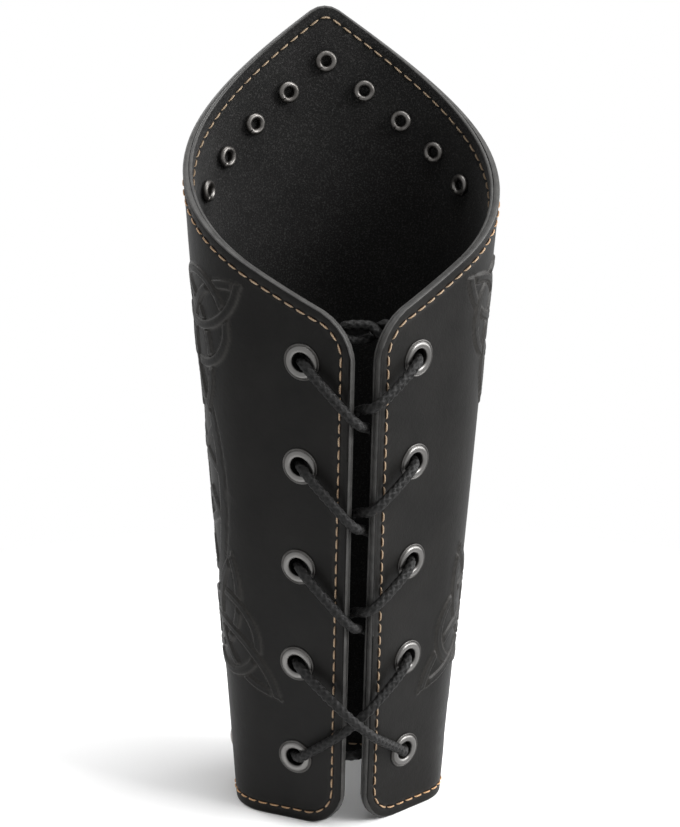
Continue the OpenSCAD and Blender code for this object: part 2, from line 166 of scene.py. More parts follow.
def wall_at(arc, z, out):
    """Points of the wall at a distance from the front line, a height and a distance out."""
    arc, z, out = np.broadcast_arrays(np.asarray(arc, float), np.asarray(z, float), np.asarray(out, float))
    column = np.clip(np.abs(arc) / half_girth(z), 0, 1) * (len(ARC_SHARES) - 1.001)
    x, y, out_x, out_y = section(z, sampled(TURN_TABLE, z, column))
    hand = np.where(arc < 0, -1.0, 1.0)
    middle = AXIS_Y + grow(0, LEAN, z)
    return np.stack([hand * (x + out * out_x), y + out * out_y + middle, z], axis=-1)


def on_back(across, z, out):
    """Points at a distance from the middle plane, on a line at a distance out from the straight flap."""
    ridge = AXIS_Y + grow(0, LEAN, z) + grow(BASE_BACK, UPPER_BACK, z)
    return np.stack([across, ridge - np.abs(across) * math.tan(FLAP_SLOPE) + out / math.cos(FLAP_SLOPE), z], axis=-1)


def unit(v):
    """Vectors of length one."""
    return v / np.linalg.norm(v, axis=-1, keepdims=True)


def wall_out(arc, z):
    """Outward direction of the wall with its taper: the cross product of a step round and a step up."""
    share = arc / edge_arc(z)
    along = wall_at((share + 0.004) * edge_arc(z), z, 0) - wall_at((share - 0.004) * edge_arc(z), z, 0)
    above = wall_at(share * edge_arc(z + 0.5), z + 0.5, 0)
    below = wall_at(share * edge_arc(z - 0.5), z - 0.5, 0)
    return unit(np.cross(along, above - below))


# Outline: a tangent from the shoulder to the rounded tip, and a parabola from the shoulder to the lacing
PEAK_ARC = float(edge_arc(PEAK_H))
TIP_MID = PEAK_H - TIP_R
SHOULDER_W = SHOULDER_SHARE * PEAK_ARC
FLANK_ANGLE = math.atan2(TIP_MID - SHOULDER_H, SHOULDER_W) + math.asin(
    TIP_R / math.hypot(SHOULDER_W, TIP_MID - SHOULDER_H)
)
FLANK_FALL = math.tan(FLANK_ANGLE) * PEAK_ARC
BACK_SHARE = 1 - SHOULDER_SHARE
BACK_BEND = (CORNER_H - SHOULDER_H + FLANK_FALL * BACK_SHARE) / BACK_SHARE**2
LOW_EDGE_ARC = float(edge_arc(0))
TOP_EDGE_ARC = float(edge_arc(CORNER_H))


def edge_line(share):
    """Height of the point's straight edge, and of the parabola behind the shoulder."""
    past = share - SHOULDER_SHARE
    return SHOULDER_H - FLANK_FALL * past + np.where(past > 0, BACK_BEND * past**2, 0)


def top_line(share, inset=0):
    """Height of the top edge, or of a line at a distance inside it: a circle at the tip, then the edge line."""
    w = share * PEAK_ARC
    r = TIP_R - inset
    fall = np.where(share < SHOULDER_SHARE, FLANK_FALL, FLANK_FALL - 2 * BACK_BEND * (share - SHOULDER_SHARE))
    straight = edge_line(share) - inset * np.hypot(1, fall / PEAK_ARC)
    return np.where(w < r * math.sin(FLANK_ANGLE), TIP_MID + np.sqrt(np.maximum(0, r**2 - w**2)), straight)


def corner_cut(from_edge, r):
    """How much a rounded corner takes away at a distance from the laced edge."""
    return np.where(from_edge < r, r - np.sqrt(np.maximum(0, r**2 - (r - from_edge) ** 2)), 0)


def wall_top(share):
    """Height of the cut edge above a share of the half girth."""
    s = np.abs(share)
    return top_line(s) - corner_cut((1 - s) * TOP_EDGE_ARC, TOP_CORNER_R)


def wall_foot(share):
    """Height of the lower cut edge."""
    return corner_cut((1 - np.abs(share)) * LOW_EDGE_ARC, LOW_CORNER_R)


# Rivets and eyelets, the same sizes as in the part's source
TOP_RIVETS = 4
TOP_RIVET_STEP = 12.5
TOP_RIVET_DROP = 18.6
LOW_RIVETS = 2
LOW_RIVET_STEP = 19
LOW_RIVET_H = 16
CAP_R = 5
CAP_H = 2.6
CAP_EDGE = 0.7
CAP_T = 0.35
SHANK_R = 1.5
SHANK_T = 0.35
FLANGE_R = 3.9
CURL_R = 0.95
EYELET_TOP_H = 153
EYELET_STEP = 32.6
EYELET_OFF = 17.2
EYELET_HOLE_R = 2.9
EYELET_R = 5.7
CROWN_H = 0.9
BARREL_T = 0.4
WASHER_T = 0.4
CLINCH_R = 0.45
SEAT_GAP = 0.05
CURVE_GAP = 0.3
ROWS = (1, 2, 3, 4, 5)


def top_rivet(i):
    """Distance round and height of a rivet of the pointed row, counted from 1."""
    share = (i - TOP_RIVETS - 1) * TOP_RIVET_STEP / float(edge_arc(SHOULDER_H))
    z = float(edge_line(abs(share))) - TOP_RIVET_DROP
    return share * float(edge_arc(z)), z


def low_rivet(i):
    """Distance round and height of a rivet of the low row, counted from 1."""
    return (i - LOW_RIVETS - 1) * LOW_RIVET_STEP, LOW_RIVET_H


def eyelet_level(row):
    """Height of a pair of eyelets, counted from 1 at the top."""
    return EYELET_TOP_H - (row - 1) * EYELET_STEP


def eyelet_place(hand, row):
    """Distance round and height of an eyelet."""
    z = eyelet_level(row)
    return hand * (float(half_girth(z)) - EYELET_OFF / math.cos(FLAP_SLOPE)), z


TOP_PLACES = [top_rivet(i) for i in range(1, 2 * TOP_RIVETS + 2)]
LOW_PLACES = [low_rivet(i) for i in range(1, 2 * LOW_RIVETS + 2)]
LEFT_PLACES = [eyelet_place(1, row) for row in ROWS]
RIGHT_PLACES = [eyelet_place(-1, row) for row in ROWS]
RIVET_ROWS = (("top", TOP_PLACES), ("low", LOW_PLACES))
EYELET_ROWS = (("left", LEFT_PLACES), ("right", RIGHT_PLACES))


def on_wall(points, place):
    """Carries points to a place on the wall: their Z points out, their X down and their Y round."""
    arc, z = place
    n = wall_out(arc, z)
    round_way = unit(np.array([-n[1], n[0], 0]))
    return points @ np.array([np.cross(round_way, n), round_way, n]) + wall_at(arc, z, 0)


# Meshes
def signed_volume(points, triangles):
    """Volume inside closed triangles: the sum of a . (b x c) / 6, positive if they face outwards."""
    a, b, c = (points[triangles[:, k]] for k in range(3))
    return float(np.einsum("ij,ij->i", a, np.cross(b, c)).sum()) / 6


def as_triangles(faces):
    """All faces as triangles: a quad is cut along its first diagonal."""
    cut = [f if f.shape[1] == 3 else np.concatenate([f[:, [0, 1, 2]], f[:, [0, 2, 3]]]) for f in faces]
    return np.concatenate(cut)


def make_piece(name, points, faces, finishes, replaces=(), face_finish=None, values=None, uv=None):
    """Makes a finished piece in place of some nodes, from points in millimetres and arrays of triangles or
    quads, turned to face outwards, with its finishes, the values stored at its points and its own map."""
    faces = [np.asarray(f, dtype=np.int64) for f in faces if len(f)]
    points = np.asarray(points, float).reshape(-1, 3)
    if signed_volume(points, as_triangles(faces)) < 0:
        faces = [f[:, ::-1] for f in faces]
    mesh = bpy.data.meshes.new(name)
    mesh.vertices.add(len(points))
    mesh.vertices.foreach_set("co", (points * MM).astype(np.float32).ravel())
    corners = np.concatenate([f.ravel() for f in faces])
    totals = np.concatenate([np.full(len(f), f.shape[1]) for f in faces])
    mesh.loops.add(len(corners))
    mesh.loops.foreach_set("vertex_index", corners.astype(np.int32))
    mesh.polygons.add(len(totals))
    mesh.polygons.foreach_set("loop_start", (np.cumsum(totals) - totals).astype(np.int32))
    mesh.polygons.foreach_set("use_smooth", np.ones(len(totals), bool))
    for finish in finishes:
        mesh.materials.append(finish)
    if face_finish is not None:
        mesh.polygons.foreach_set("material_index", np.asarray(face_finish, np.int32))
    for key, value in (values or {}).items():
        mesh.attributes.new(key, "FLOAT", "POINT").data.foreach_set("value", np.asarray(value, np.float32))
    if uv is not None:
        mesh.uv_layers.new(name="own_map").data.foreach_set("uv", uv[corners].astype(np.float32).ravel())
    mesh.update(calc_edges=True)
    mesh.validate()
    piece = add_object(name, mesh)
    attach(piece, "root")
    if replaces:
        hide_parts(*replaces)


def grid_quads(rows, columns, wrap_rows=False, wrap_columns=False):
    """Quads of a grid of rows and columns, joined round where it wraps."""
    i = np.arange(rows if wrap_rows else rows - 1)[:, None]
    j = np.arange(columns if wrap_columns else columns - 1)[None, :]
    i2 = (i + 1) % rows
    j2 = (j + 1) % columns
    return np.stack(
        [i * columns + j, i2 * columns + j, i2 * columns + j2, i * columns + j2], axis=-1
    ).reshape(-1, 4)


def turned(profile, sides, notch=None):
    """Points of a profile of radius and height turned about Z: (r cos a, r sin a, h). A notch is a
    function of the angle, the radius and the height that gives a new radius and height."""
    profile = np.asarray(profile, float)
    a = np.arange(sides) * 2 * math.pi / sides
    r = np.repeat(profile[None, :, 0], sides, axis=0)
    h = np.repeat(profile[None, :, 1], sides, axis=0)
    if notch is not None:
        r, h = notch(a[:, None], r, h)
    return np.stack([r * np.cos(a)[:, None], r * np.sin(a)[:, None], h], axis=-1)


def arc_points(mid, r, start, end, count):
    """Points on a circle of radius and height about mid, between two angles in degrees."""
    a = np.radians(np.linspace(start, end, count))
    return np.stack([mid[0] + r * np.cos(a), mid[1] + r * np.sin(a)], axis=-1)


def make_turned(kind, node, rows, profile, sides, finish, closed=True, notch=None, values=None):
    """A turned piece at each place of the named rows, in place of the node of the same row and number. Its
    profile is closed, or starts and ends on the axis."""
    shape = turned(profile, sides, notch).reshape(-1, 3)
    faces = grid_quads(sides, len(profile), wrap_rows=True, wrap_columns=closed)
    for row, places in rows:
        for i, place in enumerate(places, 1):
            make_piece(f"{kind}_{row}_{i}", on_wall(shape, place), [faces], [finish], [f"{node}_{row}_{i}"],
                       values=values)


def refinish(node, finish):
    """Gives a kept node a finish of this script in its slot."""
    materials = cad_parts[node].data.materials
    materials.clear()
    materials.append(finish)


# Shader nodes
MATERIAL_END = "ShaderNodeOutputMaterial"


def operator(operation, swapped=False):
    """A method that adds a Math node for a value and another value or number, in this order or swapped."""

    def act(self, other):
        pair = (other, self) if swapped else (self, other)
        return self.nodes.node("ShaderNodeMath", {"operation": operation}, dict(enumerate(pair)))

    return act


class Value:
    """A socket among some nodes. Sums, differences, products and powers of values add Math nodes."""

    def __init__(self, nodes, socket):
        self.nodes = nodes
        self.socket = socket

    __add__, __radd__ = operator("ADD"), operator("ADD", True)
    __sub__, __rsub__ = operator("SUBTRACT"), operator("SUBTRACT", True)
    __mul__, __rmul__ = operator("MULTIPLY"), operator("MULTIPLY", True)
    __pow__, __rpow__ = operator("POWER"), operator("POWER", True)
    at_most, at_least = operator("MINIMUM"), operator("MAXIMUM")

    def between(self, low, high):
        """0 below low, 1 above high, and even between them."""
        sockets = {0: self, 1: low, 2: high, 3: 0.0, 4: 1.0}
        return self.nodes.node("ShaderNodeMapRange", {"clamp": True}, sockets)


class Nodes:
    """The nodes of a material or of the world."""

    def __init__(self, owner):
        self.owner = owner
        owner.use_nodes = True
        self.tree = owner.node_tree
        self.tree.nodes.clear()

    def node(self, kind, settings=None, sockets=None, out=0):
        """Adds a node: its settings are set first, then the values or links of its sockets."""
        made = self.tree.nodes.new(kind)
        for key, value in (settings or {}).items():
            setattr(made, key, value)
        for key, value in (sockets or {}).items():
            if isinstance(value, Value):
                self.tree.links.new(value.socket, made.inputs[key])
            else:
                made.inputs[key].default_value = value
        return Value(self, made.outputs[out]) if made.outputs else made

    def end(self, kind, shader):
        """Ends the nodes in their output, and gives the material or world."""
        self.node(kind, sockets={"Surface": shader})
        return self.owner

    def place(self):
        """Object coordinates, in metres."""
        return self.node("ShaderNodeTexCoord", out="Object")

    def stored(self, name):
        """A value stored at the piece's points."""
        return self.node("ShaderNodeAttribute", {"attribute_name": name}, out="Fac")

    def noise(self, size, detail, rough, stretch=None):
        """Noise whose features are about this size in millimetres."""
        vector = self.place()
        if stretch:
            vector = self.node("ShaderNodeMapping", sockets={"Vector": vector, "Scale": stretch})
        sockets = {"Vector": vector, "Scale": 1 / (size * MM), "Detail": detail, "Roughness": rough}
        return self.node("ShaderNodeTexNoise", {"noise_dimensions": "3D"}, sockets)

    def cells(self, size):
        """Distance to the middle of cells of this size in millimetres."""
        sockets = {"Vector": self.place(), "Scale": 1 / (size * MM)}
        return self.node("ShaderNodeTexVoronoi", {"feature": "F1"}, sockets, out="Distance")

    def twist(self, scale, distortion, detail):
        """Slanting bands on the piece's own map, as of plies or fibres that wind round it."""
        own_map = self.node("ShaderNodeUVMap", {"uv_map": "own_map"})
        sockets = {"Vector": own_map, "Scale": scale, "Distortion": distortion, "Detail": detail}
        return self.node("ShaderNodeTexWave", {"wave_type": "BANDS", "bands_direction": "DIAGONAL"}, sockets)

    def blend(self, factor, first, second):
        """A colour between two, by a factor."""
        settings = {"data_type": "RGBA", "clamp_factor": True}
        return self.node("ShaderNodeMix", settings, {0: factor, 6: first, 7: second}, out=2)

    def bump(self, height, depth, normal=None):
        """A bumped normal: the height's full range stands for this depth in millimetres."""
        sockets = {"Height": height, "Distance": depth * MM, "Strength": 1.0}
        if normal is not None:
            sockets["Normal"] = normal
        return self.node("ShaderNodeBump", sockets=sockets)

    def surface(self, **sockets):
        """Ends the nodes in a Principled surface."""
        named = {key.replace("_", " "): value for key, value in sockets.items()}
        return self.end(MATERIAL_END, self.node("ShaderNodeBsdfPrincipled", sockets=named, out="BSDF"))

    def seen(self):
        """1 for the rays that see the background: those of the camera, and those that metal or glass sends on."""
        rays = [self.node("ShaderNodeLightPath", out=f"Is {kind} Ray") for kind in ("Camera", "Glossy", "Transmission")]
        return rays[0].at_least(rays[1]).at_least(rays[2])


def finish_nodes(name):
    """The empty nodes of a new material for one finish."""
    return Nodes(bpy.data.materials.new(name))


def tone(red, green, blue):
    """A colour with its alpha."""
    return (red, green, blue, 1.0)


def black_leather():
    """Black finished leather: a fine grain, soft mottling, edges of the relief painted paler, partly as wear and partly
    as a painted highlight, and needle holes painted dark as shade.
    """
    f = finish_nodes("black_leather")
    mottle = f.noise(14, 4, 0.6)
    fine = f.noise(1.1, 3, 0.6)
    hole = f.stored("needle_hole")
    base = f.blend(mottle.between(0.35, 0.7), tone(0.0033, 0.0031, 0.0028), tone(0.0062, 0.0058, 0.0053))
    # Edges of the relief painted paler: partly wear, partly a painted highlight where they catch light.
    wear_and_highlight = (f.stored("relief_edge") * (0.35 + fine * 0.9)).at_most(1.0)
    rubbed_and_highlit = f.blend(wear_and_highlight, base, tone(0.028, 0.0265, 0.0245))
    # Needle holes painted near black: painted shade inside the holes, deeper than the shallow dip.
    colour = f.blend(hole, rubbed_and_highlit, tone(0.0015, 0.0012, 0.001))
    grain = f.cells(0.62) * 0.6 + f.noise(0.4, 2, 0.6) * 0.4
    pores = f.noise(2.4, 4, 0.65)
    normal = f.bump(grain, 0.03, f.bump(pores, 0.08))
    rough = 0.40 + mottle * 0.12 + fine * 0.06 - wear_and_highlight * 0.12
    return f.surface(Base_Color=colour, Roughness=rough, Normal=normal, Specular_IOR_Level=0.125)


def painted_edge():
    """Cut edge with dark edge paint, polished: a little uneven, with fine lines of the layers under it."""
    f = finish_nodes("painted_edge")
    patches = f.noise(3.0, 4, 0.6)
    streaks = f.noise(0.5, 3, 0.6, stretch=(1, 1, 3))
    colour = f.blend(patches.between(0.35, 0.65), tone(0.030, 0.0293, 0.0282), tone(0.051, 0.050, 0.048))
    darker = f.blend(streaks.between(0.55, 0.75) * 0.5, colour, tone(0.012, 0.0117, 0.0113))
    normal = f.bump(streaks, 0.03, f.bump(patches, 0.08))
    return f.surface(Base_Color=darker, Roughness=0.42 + patches * 0.16, Normal=normal, Specular_IOR_Level=0.22)


def black_suede():
    """Black suede lining: short nap in patches brushed one way or the other, with paler tips of fibre."""
    f = finish_nodes("black_suede")
    brushed = f.noise(16, 5, 0.65)
    fibre = f.noise(0.45, 4, 0.7)
    speck = f.noise(0.5, 3, 0.7)
    ground = f.blend(brushed.between(0.35, 0.7), tone(0.0042, 0.0042, 0.0041), tone(0.0080, 0.0078, 0.0076))
    tips = f.blend(speck.between(0.5, 0.72) * (0.4 + brushed * 0.8), ground, tone(0.038, 0.037, 0.036))
    # Needle holes painted near black as the shade inside them.
    colour = f.blend(f.stored("needle_hole"), tips, tone(0.0015, 0.0012, 0.001))
    normal = f.bump(fibre * 0.6 + speck * 0.4, 0.16)
    return f.surface(
        Base_Color=colour, Roughness=0.9, Normal=normal, Specular_IOR_Level=0.1, Sheen_Weight=0.08, Sheen_Roughness=0.5
    )


def waxed_thread(name, pale, tan, deep):
    """Waxed thread of three plies: its own map winds the twist round the stitch, whose sides are painted darker as
    shade and whose top paler as a painted highlight. Its colour goes from orange in front to a darker tan at the
    lacing, painted shade on the lacing side of one thread."""
    f = finish_nodes(name)
    ply = f.twist(0.55, 0.4, 1.0)
    shade = f.noise(2.2, 3, 0.6)
    lit = f.stored("stitch_top") * (0.55 + ply * 0.4 + shade.between(0.3, 0.75) * 0.3)
    # Tan towards the lacing and orange in front: painted shade on the lacing side of the same thread.
    behind = f.node("ShaderNodeSeparateXYZ", sockets={0: f.place()}, out="Y")
    top = f.blend(behind.between(-0.02, 0.025), pale, tan)
    colour = f.blend(lit.at_most(1.0), deep, top)
    rough = 0.48 + shade * 0.15
    return f.surface(Base_Color=colour, Roughness=rough, Normal=f.bump(ply, 0.09), Specular_IOR_Level=0.35)


def waxed_lace():
    """Black braided cord: strand tops painted paler as a highlight and the hollows darker as shade, with wax dull in
    the hollows.
    """
    f = finish_nodes("waxed_lace")
    high = f.stored("strand_top")
    fibre = f.twist(2.4, 1.2, 2.0)
    speck = f.noise(0.7, 4, 0.7)
    # Strand tops painted paler as a highlight, the hollows near black as painted shade.
    wear_and_highlight = (high ** 1.5 * (0.25 + speck.between(0.35, 0.7))).at_most(1.0)
    colour = f.blend(wear_and_highlight, tone(0.0010, 0.0010, 0.0010), tone(0.015, 0.0146, 0.0142))
    normal = f.bump(fibre, 0.05, f.bump(speck, 0.12))
    return f.surface(Base_Color=colour, Roughness=0.54 - wear_and_highlight * 0.2, Normal=normal, Specular_IOR_Level=0.19)


def aged_metal(name, pale, deep, rough, patina_size, rim_and_highlight_name=None):
    """Plated metal with a patina in soft patches, fine scratches and, where it is stored, a rim painted paler as wear
    and as a painted highlight.
    """
    f = finish_nodes(name)
    patches = f.noise(patina_size, 2, 0.5)
    specks = f.noise(0.7, 4, 0.65)
    scratches = f.noise(0.5, 3, 0.6, stretch=(1, 1, 0.12))
    patina_and_rim_highlight = (0.6 + patches.between(0.3, 0.65) * 0.4 + specks.between(0.5, 0.8) * 0.1).at_most(1.0)
    # A stored rim is painted paler, as wear and as a painted highlight.
    if rim_and_highlight_name:
        rim = f.stored(rim_and_highlight_name)
        patina_and_rim_highlight = patina_and_rim_highlight * (1.0 - rim * 0.85)
    colour = f.blend(patina_and_rim_highlight, pale, deep)
    normal = f.bump(scratches, 0.003)
    return f.surface(
        Base_Color=colour, Metallic=1.0, Roughness=rough + patina_and_rim_highlight * 0.16 + specks * 0.05, Normal=normal
    )


LEATHER = black_leather()
EDGE = painted_edge()
SUEDE = black_suede()
# One thread: orange in front, and tan as its painted shade at the lacing and inside.
ORANGE = tone(0.78, 0.42, 0.17)
TAN = tone(0.31, 0.235, 0.155)
THREAD = waxed_thread("seam_thread", ORANGE, TAN, tone(0.13, 0.05, 0.016))
THREAD_INSIDE = waxed_thread("seam_thread_inside", TAN, TAN, tone(0.10, 0.055, 0.025))
LACE = waxed_lace()
# Antique nickel: the deep middle of the caps paints a dark reflection, their pale rim wear and a painted highlight.
NICKEL = aged_metal("antique_nickel", tone(0.30, 0.262, 0.238), tone(0.050, 0.037, 0.030), 0.15, 6.0, "rubbed_rim_and_highlight")
BRIGHT_NICKEL = aged_metal("bright_nickel", tone(0.24, 0.231, 0.222), tone(0.070, 0.066, 0.062), 0.26, 3.0)
GUNMETAL = aged_metal("gunmetal", tone(0.17, 0.166, 0.161), tone(0.046, 0.044, 0.042), 0.28, 5.0, "rubbed_rim_and_highlight")
DARK_SLEEVE = aged_metal("dark_sleeve", tone(0.16, 0.155, 0.15), tone(0.05, 0.048, 0.046), 0.28, 4.0)


# Stamped relief: its height over the flat leather, on a fine grid of distance round and height
RELIEF_STEP = 0.2
RELIEF_SIDE = 128.0

# Edges of a band: half the width of their step, how far in its rim and its ticks lie, and its gutter
SOFT = 0.28
RIM_BACK, RIM_W = 0.25, 0.22
TICK_PITCH, TICK_BACK, TICK_FADE = 1.6, 0.9, 0.4
GUTTER_OFF, GUTTER_W = 0.3, 0.24


def way(angle):
    """The direction at an angle in degrees."""
    return np.array([math.cos(math.radians(angle)), math.sin(math.radians(angle))])


def ramp(x):
    """Smooth step: 3 x^2 - 2 x^3 between 0 and 1."""
    x = np.clip(x, 0, 1)
    return x * x * (3 - 2 * x)


class Relief:
    """Height map of one face of the leather, to which bands and dips are added one after the other."""

    def __init__(self):
        self.u = np.arange(-RELIEF_SIDE, RELIEF_SIDE + RELIEF_STEP, RELIEF_STEP)
        self.z = np.arange(0, PEAK_H + RELIEF_STEP, RELIEF_STEP)
        self.height = np.zeros((len(self.u), len(self.z)))
        self.holes = np.zeros_like(self.height)

    def window(self, points, reach):
        """The part of the grid round some points: its slices and its coordinates."""
        points = np.atleast_2d(points)
        low = points.min(0) - reach
        high = points.max(0) + reach
        us = slice(*np.searchsorted(self.u, [low[0], high[0]]))
        zs = slice(*np.searchsorted(self.z, [low[1], high[1]]))
        return us, zs, self.u[us][:, None], self.z[zs][None, :]

    def band(self, points, width, level, edge=SOFT, rim=0, ticks=0, slant=0, clear=0, gutter=0, flat_ends=False):
        """A raised or sunk band along a line of points. The distance d to the line gives its plateau, with
        a smooth step of the edge's width, a rim inside the edge and ticks across it, and the run along
        it places the ticks. Where clear is set, the ground next to it is cleared as a strand passes over,
        and a gutter is a fine groove on both of its sides: gutter e^-((d - width / 2 - off) / w)^2."""
        points = np.asarray(points, float)
        reach = width / 2 + edge + clear + 0.6
        us, zs, u, z = self.window(points, reach)
        near = np.full((u.shape[0], z.shape[1]), 1e9)
        run = np.zeros_like(near)
        side = np.zeros_like(near)
        inside = np.ones_like(near)
        before = 0.0
        last = len(points) - 2
        for k in range(last + 1):
            a, b = points[k], points[k + 1]
            i = slice(*np.searchsorted(u[:, 0], [min(a[0], b[0]) - reach, max(a[0], b[0]) + reach]))
            j = slice(*np.searchsorted(z[0], [min(a[1], b[1]) - reach, max(a[1], b[1]) + reach]))
            length = float(np.hypot(*(b - a)))
            along = (b - a) / length
            at = (u[i] - a[0]) * along[0] + (z[:, j] - a[1]) * along[1]
            off = (z[:, j] - a[1]) * along[0] - (u[i] - a[0]) * along[1]
            held = np.clip(at, 0, length)
            d = np.hypot(at - held, off)
            closer = d < near[i, j]
            beyond = ((at < 0) & (k == 0)) | ((at > length) & (k == last))
            for grid, value in ((near, d), (run, before + held), (side, off), (inside, 1.0 - beyond)):
                grid[i, j][closer] = value[closer]
            before += length
        within = inside if flat_ends else 1
        cover = (1 - ramp((near - (width / 2 - edge)) / (2 * edge))) * within
        top = level + rim * np.exp(-(((near - (width / 2 - edge - RIM_BACK)) / RIM_W) ** 2))
        if ticks:
            wave = 0.5 + 0.5 * np.cos(2 * math.pi * (run + slant * side) / TICK_PITCH)
            top = top - ticks * wave * (1 - ramp((near - (width / 2 - TICK_BACK)) / TICK_FADE))
        ground = self.height[us, zs]
        if clear:
            ground = ground * (1 - (1 - ramp((near - (width / 2 + clear - edge)) / (2 * edge))) * within)
        if gutter:
            ground = ground - gutter * np.exp(-(((near - width / 2 - GUTTER_OFF) / GUTTER_W) ** 2)) * within
        self.height[us, zs] = ground * (1 - cover) + top * cover

    def needle_hole(self, place, r, depth):
        """A round dip where the needle went in: the depth times (1 - (d / r)^2)^2 inside its radius."""
        us, zs, u, z = self.window(np.asarray(place, float), r + 0.2)
        d = np.clip(np.hypot(u - place[0], z - place[1]) / r, 0, 1)
        self.height[us, zs] -= depth * (1 - d * d) ** 2
        # Where the hole lies, for the painted shade inside it.
        self.holes[us, zs] = np.maximum(self.holes[us, zs], 1 - d**4)

    def sample(self, grid, u, z):
        """Values of one of its grids at a distance round and a height."""
        return sampled(grid, (u - self.u[0]) / RELIEF_STEP, z / RELIEF_STEP)

    def steepness(self):
        """How steep the relief is: the length of its gradient."""
        across, up = np.gradient(self.height, RELIEF_STEP)
        return np.hypot(across, up)


# Emblem: a round frame with a field of plain geometric marks, and a compass figure with eight arms
EMBLEM_U = 3.0
EMBLEM_Z = 117.3
EMBLEM_SQUASH = 0.925
FRAME_R = 78.0
FIELD_OUT = 73.2
FIELD_IN = 58.6
INNER_R = 56.2
FIELD_DEPTH = 0.5
MARK_W = 2.7
ARM_RISE = 0.46

# Marks of the field as strokes: share of the half width, and share of the way from the inner rim out
MARKS = {
    "lozenge": [[(0, 0.97), (0.85, 0.52), (0, 0.08), (-0.85, 0.52), (0, 0.97)]],
    "chevrons": [[(-0.9, 0.45), (0, 0.95), (0.9, 0.45)], [(-0.9, 0.0), (0, 0.48), (0.9, 0.0)]],
    "hourglass": [[(-0.8, 0.02), (0.8, 0.98)], [(0.8, 0.02), (-0.8, 0.98)], [(-0.8, 0.5), (0.8, 0.5)]],
    "bars": [[(-0.75, 0), (-0.75, 1)], [(0.05, 0), (0.05, 1)], [(0.75, 0.25), (0.75, 0.75)]],
    "ladder": [[(-0.7, 0), (-0.7, 1)], [(0.7, 0), (0.7, 1)], [(-0.7, 0.33), (0.7, 0.33)], [(-0.7, 0.7), (0.7, 0.7)]],
    "points": [[(-0.9, 1), (-0.2, 0.5), (-0.9, 0)], [(0.9, 1), (0.2, 0.5), (0.9, 0)]],
}
MARK_ORDER = (
    "lozenge", "bars", "chevrons", "ladder", "hourglass", "points", "lozenge", "chevrons",
    "bars", "hourglass", "ladder", "points", "chevrons", "lozenge", "bars", "hourglass",
    "points", "ladder", "lozenge", "chevrons", "hourglass", "bars",
)
MARK_HALF_W = 6.2


def round_frame(relief):
    """Frame of the emblem: a sunk field between two circles, a fine outer line and a raised inner ring,
    all by distance from the middle with the width drawn in."""
    u = (relief.u[:, None] - EMBLEM_U) / EMBLEM_SQUASH
    r = np.hypot(u, relief.z[None, :] - EMBLEM_Z)
    field = ramp((r - FIELD_IN + SOFT) / (2 * SOFT)) * (1 - ramp((r - FIELD_OUT + SOFT) / (2 * SOFT)))
    relief.height -= FIELD_DEPTH * field
    outer_line = np.exp(-(((r - FRAME_R) / 0.34) ** 2))
    inner_ring = (1 - ramp((np.abs(r - INNER_R + 1.2) - 1.0) / 0.5)) * 0.26
    relief.height += inner_ring - 0.3 * outer_line


def ring_point(angle, r):
    """Point of the emblem at an angle from the top, clockwise as seen from in front, and a radius."""
    return (EMBLEM_U + EMBLEM_SQUASH * r * math.sin(angle), EMBLEM_Z + r * math.cos(angle))


def ring_marks(relief):
    """Marks that stand in the sunk field, at even steps round it, joined to its rims where they reach them."""
    count = len(MARK_ORDER)
    middle_r = (FIELD_IN + FIELD_OUT) / 2
    for k, name in enumerate(MARK_ORDER):
        angle = 2 * math.pi * (k + 0.35) / count
        for stroke in MARKS[name]:
            line = [
                ring_point(angle + a * MARK_HALF_W / middle_r, FIELD_IN + b * (FIELD_OUT - FIELD_IN))
                for a, b in stroke
            ]
            relief.band(line, MARK_W, 0.0, rim=0.05)


